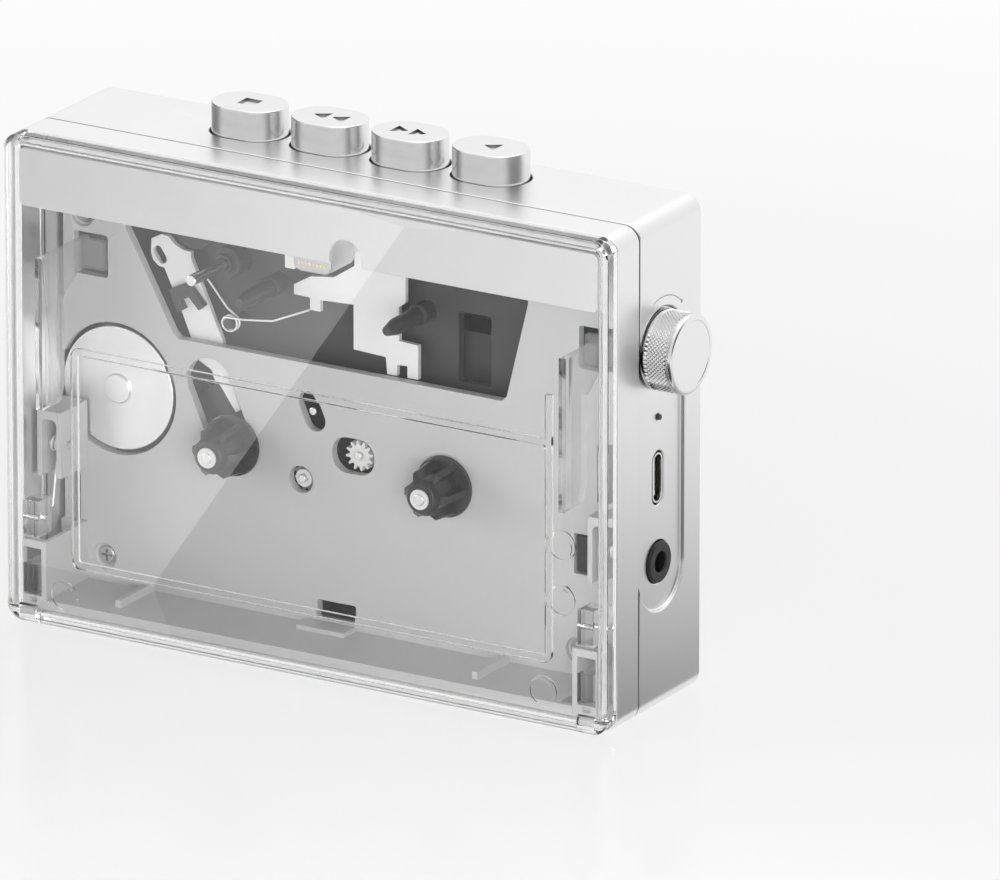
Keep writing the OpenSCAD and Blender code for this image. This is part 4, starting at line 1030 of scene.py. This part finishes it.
class PLAYER_OT_sockets(PlayerOperator):
    """Charging socket, headphone socket and status light"""
    bl_idname = "player.sockets"
    bl_label = "Sockets"

    def execute(self, context):
        dress("usb_socket", "bright_steel", 0.06)
        dress("headphone_socket", "socket_plastic", 0.3, 3)
        dress("status_light", "smoked_lens", 0.1)
        self.contacts()
        return {"FINISHED"}

    def contacts(self):
        """Gold contacts on both faces of the charging socket's tongue."""
        low, high = node_box("usb_socket")
        y, z = (low.y + high.y) / 2, (low.z + high.z) / 2
        count, pitch, half = 10, 0.56, 0.35
        start = z - (count - 1) * pitch / 2
        clear_selection()
        bpy.ops.mesh.primitive_cube_add(
            size=1, location=((high.x - 3.0) * MM, (y - half - 0.01) * MM, start * MM),
            scale=(3.6 * MM, 0.06 * MM, 0.28 * MM))
        first = begin("usb_contacts")
        round_edges(first, 0.02)
        pieces = [first] + [copy_by(first, (0, 0, i * pitch)) for i in range(1, count)]
        pieces += [copy_by(piece, (0, 2 * half + 0.02, 0)) for piece in list(pieces)]
        contacts = join(pieces, "usb_contacts")
        shade(contacts)
        place(contacts, "gold_contact", "usb_socket")


class PLAYER_OT_inner(PlayerOperator):
    """Finishes of the pieces inside the case that keep the shape of the solid model"""
    bl_idname = "player.inner"
    bl_label = "Inner pieces"

    finishes = {
        "spring_wire": ("stop_key_spring", "rewind_key_spring", "forward_key_spring", "play_key_spring"),
        "board_green": ("main_board", "switch_board"),
        "battery_film": ("battery",),
        "turned_brass": ("volume_shaft",),
        "chassis_plastic": ("volume_pot", "key_switches"),
        "bright_steel": ("motor_shaft",),
        "soft_rubber": ("drive_belt",),
        "hub_plastic": ("reel_gear_left", "reel_gear_right"),
    }

    def execute(self, context):
        for finish, nodes in self.finishes.items():
            for node in nodes:
                for slot in frame["nodes"][node].material_slots:
                    slot.material = finish_named(finish)
        return {"FINISHED"}


class PLAYER_OT_stage(PlayerOperator):
    """Floor, studio light and camera"""
    bl_idname = "player.stage"
    bl_label = "Stage"

    azimuth, elevation, distance = 30.9035, 18.8203, 3.0856
    target = (0.0298156, 0.0, 0.0438943)
    focal_pixels = 18164.0

    def execute(self, context):
        scene = context.scene
        scene.view_settings.view_transform = "Standard"
        self.camera(scene)
        self.floor()
        self.cards()
        self.lights()
        self.surround(scene)
        return {"FINISHED"}

    def camera(self, scene):
        across, up = math.radians(self.azimuth), math.radians(self.elevation)
        back = Vector((math.sin(across) * math.cos(up), -math.cos(across) * math.cos(up), math.sin(up)))
        data = bpy.data.cameras.new("camera")
        data.sensor_fit = "HORIZONTAL"
        data.lens = self.focal_pixels / PICTURE[0] * data.sensor_width
        camera = bpy.data.objects.new("camera", data)
        scene.collection.objects.link(camera)
        camera.location = Vector(self.target) + self.distance * back
        camera.rotation_euler = (-back).to_track_quat("-Z", "Y").to_euler()
        scene.camera = camera

    def floor(self):
        clear_selection()
        bpy.ops.mesh.primitive_plane_add(size=12, location=(0, 0, -0.0002))
        floor = begin("floor")
        material, tree, shader, output = new_finish("floor_white")
        grain = use_group(tree, "surface_grain", {"Scale": 6.0, "Low": 0.12, "High": 0.18, "Patches": 0.004})
        tree.links.new(tinted(tree, (0.97, 0.97, 0.97), grain["Shade"]), shader.inputs["Base Color"])
        tree.links.new(grain["Roughness"], shader.inputs["Roughness"])
        path = new_node(tree, "LightPath").outputs
        seen = math_node(tree, "MAXIMUM", path["Is Camera Ray"], path["Is Glossy Ray"])
        seen = math_node(tree, "MAXIMUM", seen, path["Is Transmission Ray"])
        white = new_node(tree, "Emission", {"Color": (1, 1, 1, 1), "Strength": 1.0})
        reach = vector_math(tree, "LENGTH", object_point(tree))
        part = math_node(tree, "MULTIPLY", seen, remap(tree, reach, 0.08, 0.4, 0.72, 0.97))
        mix = new_node(tree, "MixShader", {0: part, 1: shader.outputs[0], 2: white.outputs[0]})
        tree.links.new(mix.outputs[0], output.inputs["Surface"])
        floor.data.materials.append(material)

    def cards(self):
        """Cards that only show as reflections: white at the left, black in front, grey at the right."""
        white = ((-47, -43), (-113, -236), (-420, -330), (-420, -30))
        black = ((-47, -43), (-30, -22), (160, -30), (160, -330), (-113, -236))
        grey = ((61.5, -10), (61.5, 60), (150, 300), (400, 300), (300, -10))
        self.card("white_card", white, (-1, 0.36), 2.5, 1.1, 60)
        self.card("black_card", black, (0, 1), 0.05, 0.06, 300)
        self.card("grey_card", grey, (0.5, 0.8), 0.3, 1.0, 190)

    def card(self, name, corners, way, near, far, length):
        """A card with a tone that changes from its first corner along a direction, seen from above."""
        mesh = bpy.data.meshes.new(name)
        mesh.from_pydata([(x * MM, y * MM, 0.4 * MM) for x, y in corners], [], [list(range(len(corners)))])
        card = bpy.data.objects.new(name, mesh)
        bpy.context.scene.collection.objects.link(card)
        select_all(card)
        bpy.ops.mesh.normals_make_consistent(inside=False)
        leave_edit()
        if mesh.polygons[0].normal.z < 0:
            select_all(card)
            bpy.ops.mesh.flip_normals()
            leave_edit()
        card.visible_camera = card.visible_diffuse = card.visible_transmission = False
        card.visible_shadow = card.visible_volume_scatter = False
        material, tree, shader, output = new_finish(name)
        tree.nodes.remove(shader)
        from_start = vector_math(tree, "SUBTRACT", object_point(tree), Vector((*corners[0], 0)) * MM)
        along = vector_math(tree, "DOT_PRODUCT", from_start, Vector((*way, 0)).normalized())
        glow = new_node(tree, "Emission", {"Strength": remap(tree, along, 0.0, length * MM, near, far)})
        clear = new_node(tree, "BsdfTransparent")
        under = new_node(tree, "NewGeometry").outputs["Backfacing"]
        mix = new_node(tree, "MixShader", {0: under, 1: glow.outputs[0], 2: clear.outputs[0]})
        tree.links.new(mix.outputs[0], output.inputs["Surface"])
        mesh.materials.append(material)

    def lights(self):
        for name, spot, size, power in (
            ("top_softbox", (0.0, 0.4, 1.1), 1.0, 2.8),
            ("left_softbox", (-1.3, -0.7, 0.15), 0.9, 10.5),
            ("right_softbox", (0.17, -0.22, 0.085), 0.16, 0.46),
        ):
            data = bpy.data.lights.new(name, "AREA")
            data.shape = "SQUARE"
            data.size = size
            data.energy = power
            lamp = bpy.data.objects.new(name, data)
            bpy.context.scene.collection.objects.link(lamp)
            lamp.location = spot
            lamp.visible_camera = False
            lamp.visible_glossy = name == "top_softbox"
            aim = Vector((0, 0, 0.04)) - Vector(spot)
            lamp.rotation_euler = aim.to_track_quat("-Z", "Y").to_euler()

    def surround(self, scene):
        """White studio behind the player, greyer walls in front of it."""
        world = bpy.data.worlds.new("studio")
        scene.world = world
        world.use_nodes = True
        tree = world.node_tree
        tree.nodes.clear()
        way = axes(tree, new_node(tree, "TexCoord").outputs["Generated"])
        walls = remap(tree, way["Y"], -0.5, 0.4, 0.78, 1.0)
        flags = remap(tree, math_node(tree, "ABSOLUTE", way["X"]), 0.7, 0.88, 1.0, 0.08)
        walls = math_node(tree, "MINIMUM", walls, flags)
        ceiling = remap(tree, way["Z"], 0.45, 0.8, 0.0, 1.1)
        path = new_node(tree, "LightPath").outputs
        mirrored = math_node(tree, "MAXIMUM", path["Is Glossy Ray"], path["Is Transmission Ray"])
        level = new_node(tree, "Mix", {"Factor": mirrored}, data_type="FLOAT")
        level.inputs[2].default_value = 0.21
        tree.links.new(math_node(tree, "MAXIMUM", walls, ceiling), level.inputs[3])
        seen = new_node(tree, "Mix", {"Factor": path["Is Camera Ray"]}, data_type="FLOAT")
        tree.links.new(level.outputs[0], seen.inputs[2])
        seen.inputs[3].default_value = 1.0
        sky = new_node(tree, "Background", {"Color": (1, 1, 1, 1), "Strength": seen.outputs[0]})
        new_node(tree, "OutputWorld", {"Surface": sky.outputs[0]})


class PLAYER_PT_pieces(bpy.types.Panel):
    """Lists the steps that build the player, and its sizes and colours"""
    bl_idname = "PLAYER_PT_pieces"
    bl_label = "Cassette player"
    bl_space_type = "VIEW_3D"
    bl_region_type = "UI"
    bl_category = "Player"

    def draw(self, context):
        for step in STEPS:
            self.layout.operator(step.bl_idname)
        for group in (context.scene.player_sizes, context.scene.player_colours):
            box = self.layout.box()
            for name in group.bl_rna.properties.keys():
                if name not in ("rna_type", "name"):
                    box.prop(group, name)


STEPS = (
    PLAYER_OT_stage, PLAYER_OT_case, PLAYER_OT_lid, PLAYER_OT_keys, PLAYER_OT_knob, PLAYER_OT_deck,
    PLAYER_OT_screws, PLAYER_OT_springs, PLAYER_OT_reels, PLAYER_OT_mechanism, PLAYER_OT_sockets,
    PLAYER_OT_inner,
)
CLASSES = (PlayerSizes, PlayerColours, *STEPS, PLAYER_PT_pieces)


def register():
    for cls in CLASSES:
        bpy.utils.register_class(cls)
    bpy.types.Scene.player_sizes = PointerProperty(type=PlayerSizes)
    bpy.types.Scene.player_colours = PointerProperty(type=PlayerColours)


def unregister():
    del bpy.types.Scene.player_colours
    del bpy.types.Scene.player_sizes
    for cls in reversed(CLASSES):
        bpy.utils.unregister_class(cls)


def main():
    register()
    for step in STEPS:
        group, name = step.bl_idname.split(".")
        getattr(getattr(bpy.ops, group), name)()
    clear_selection()


if __name__ == "__main__":
    main()
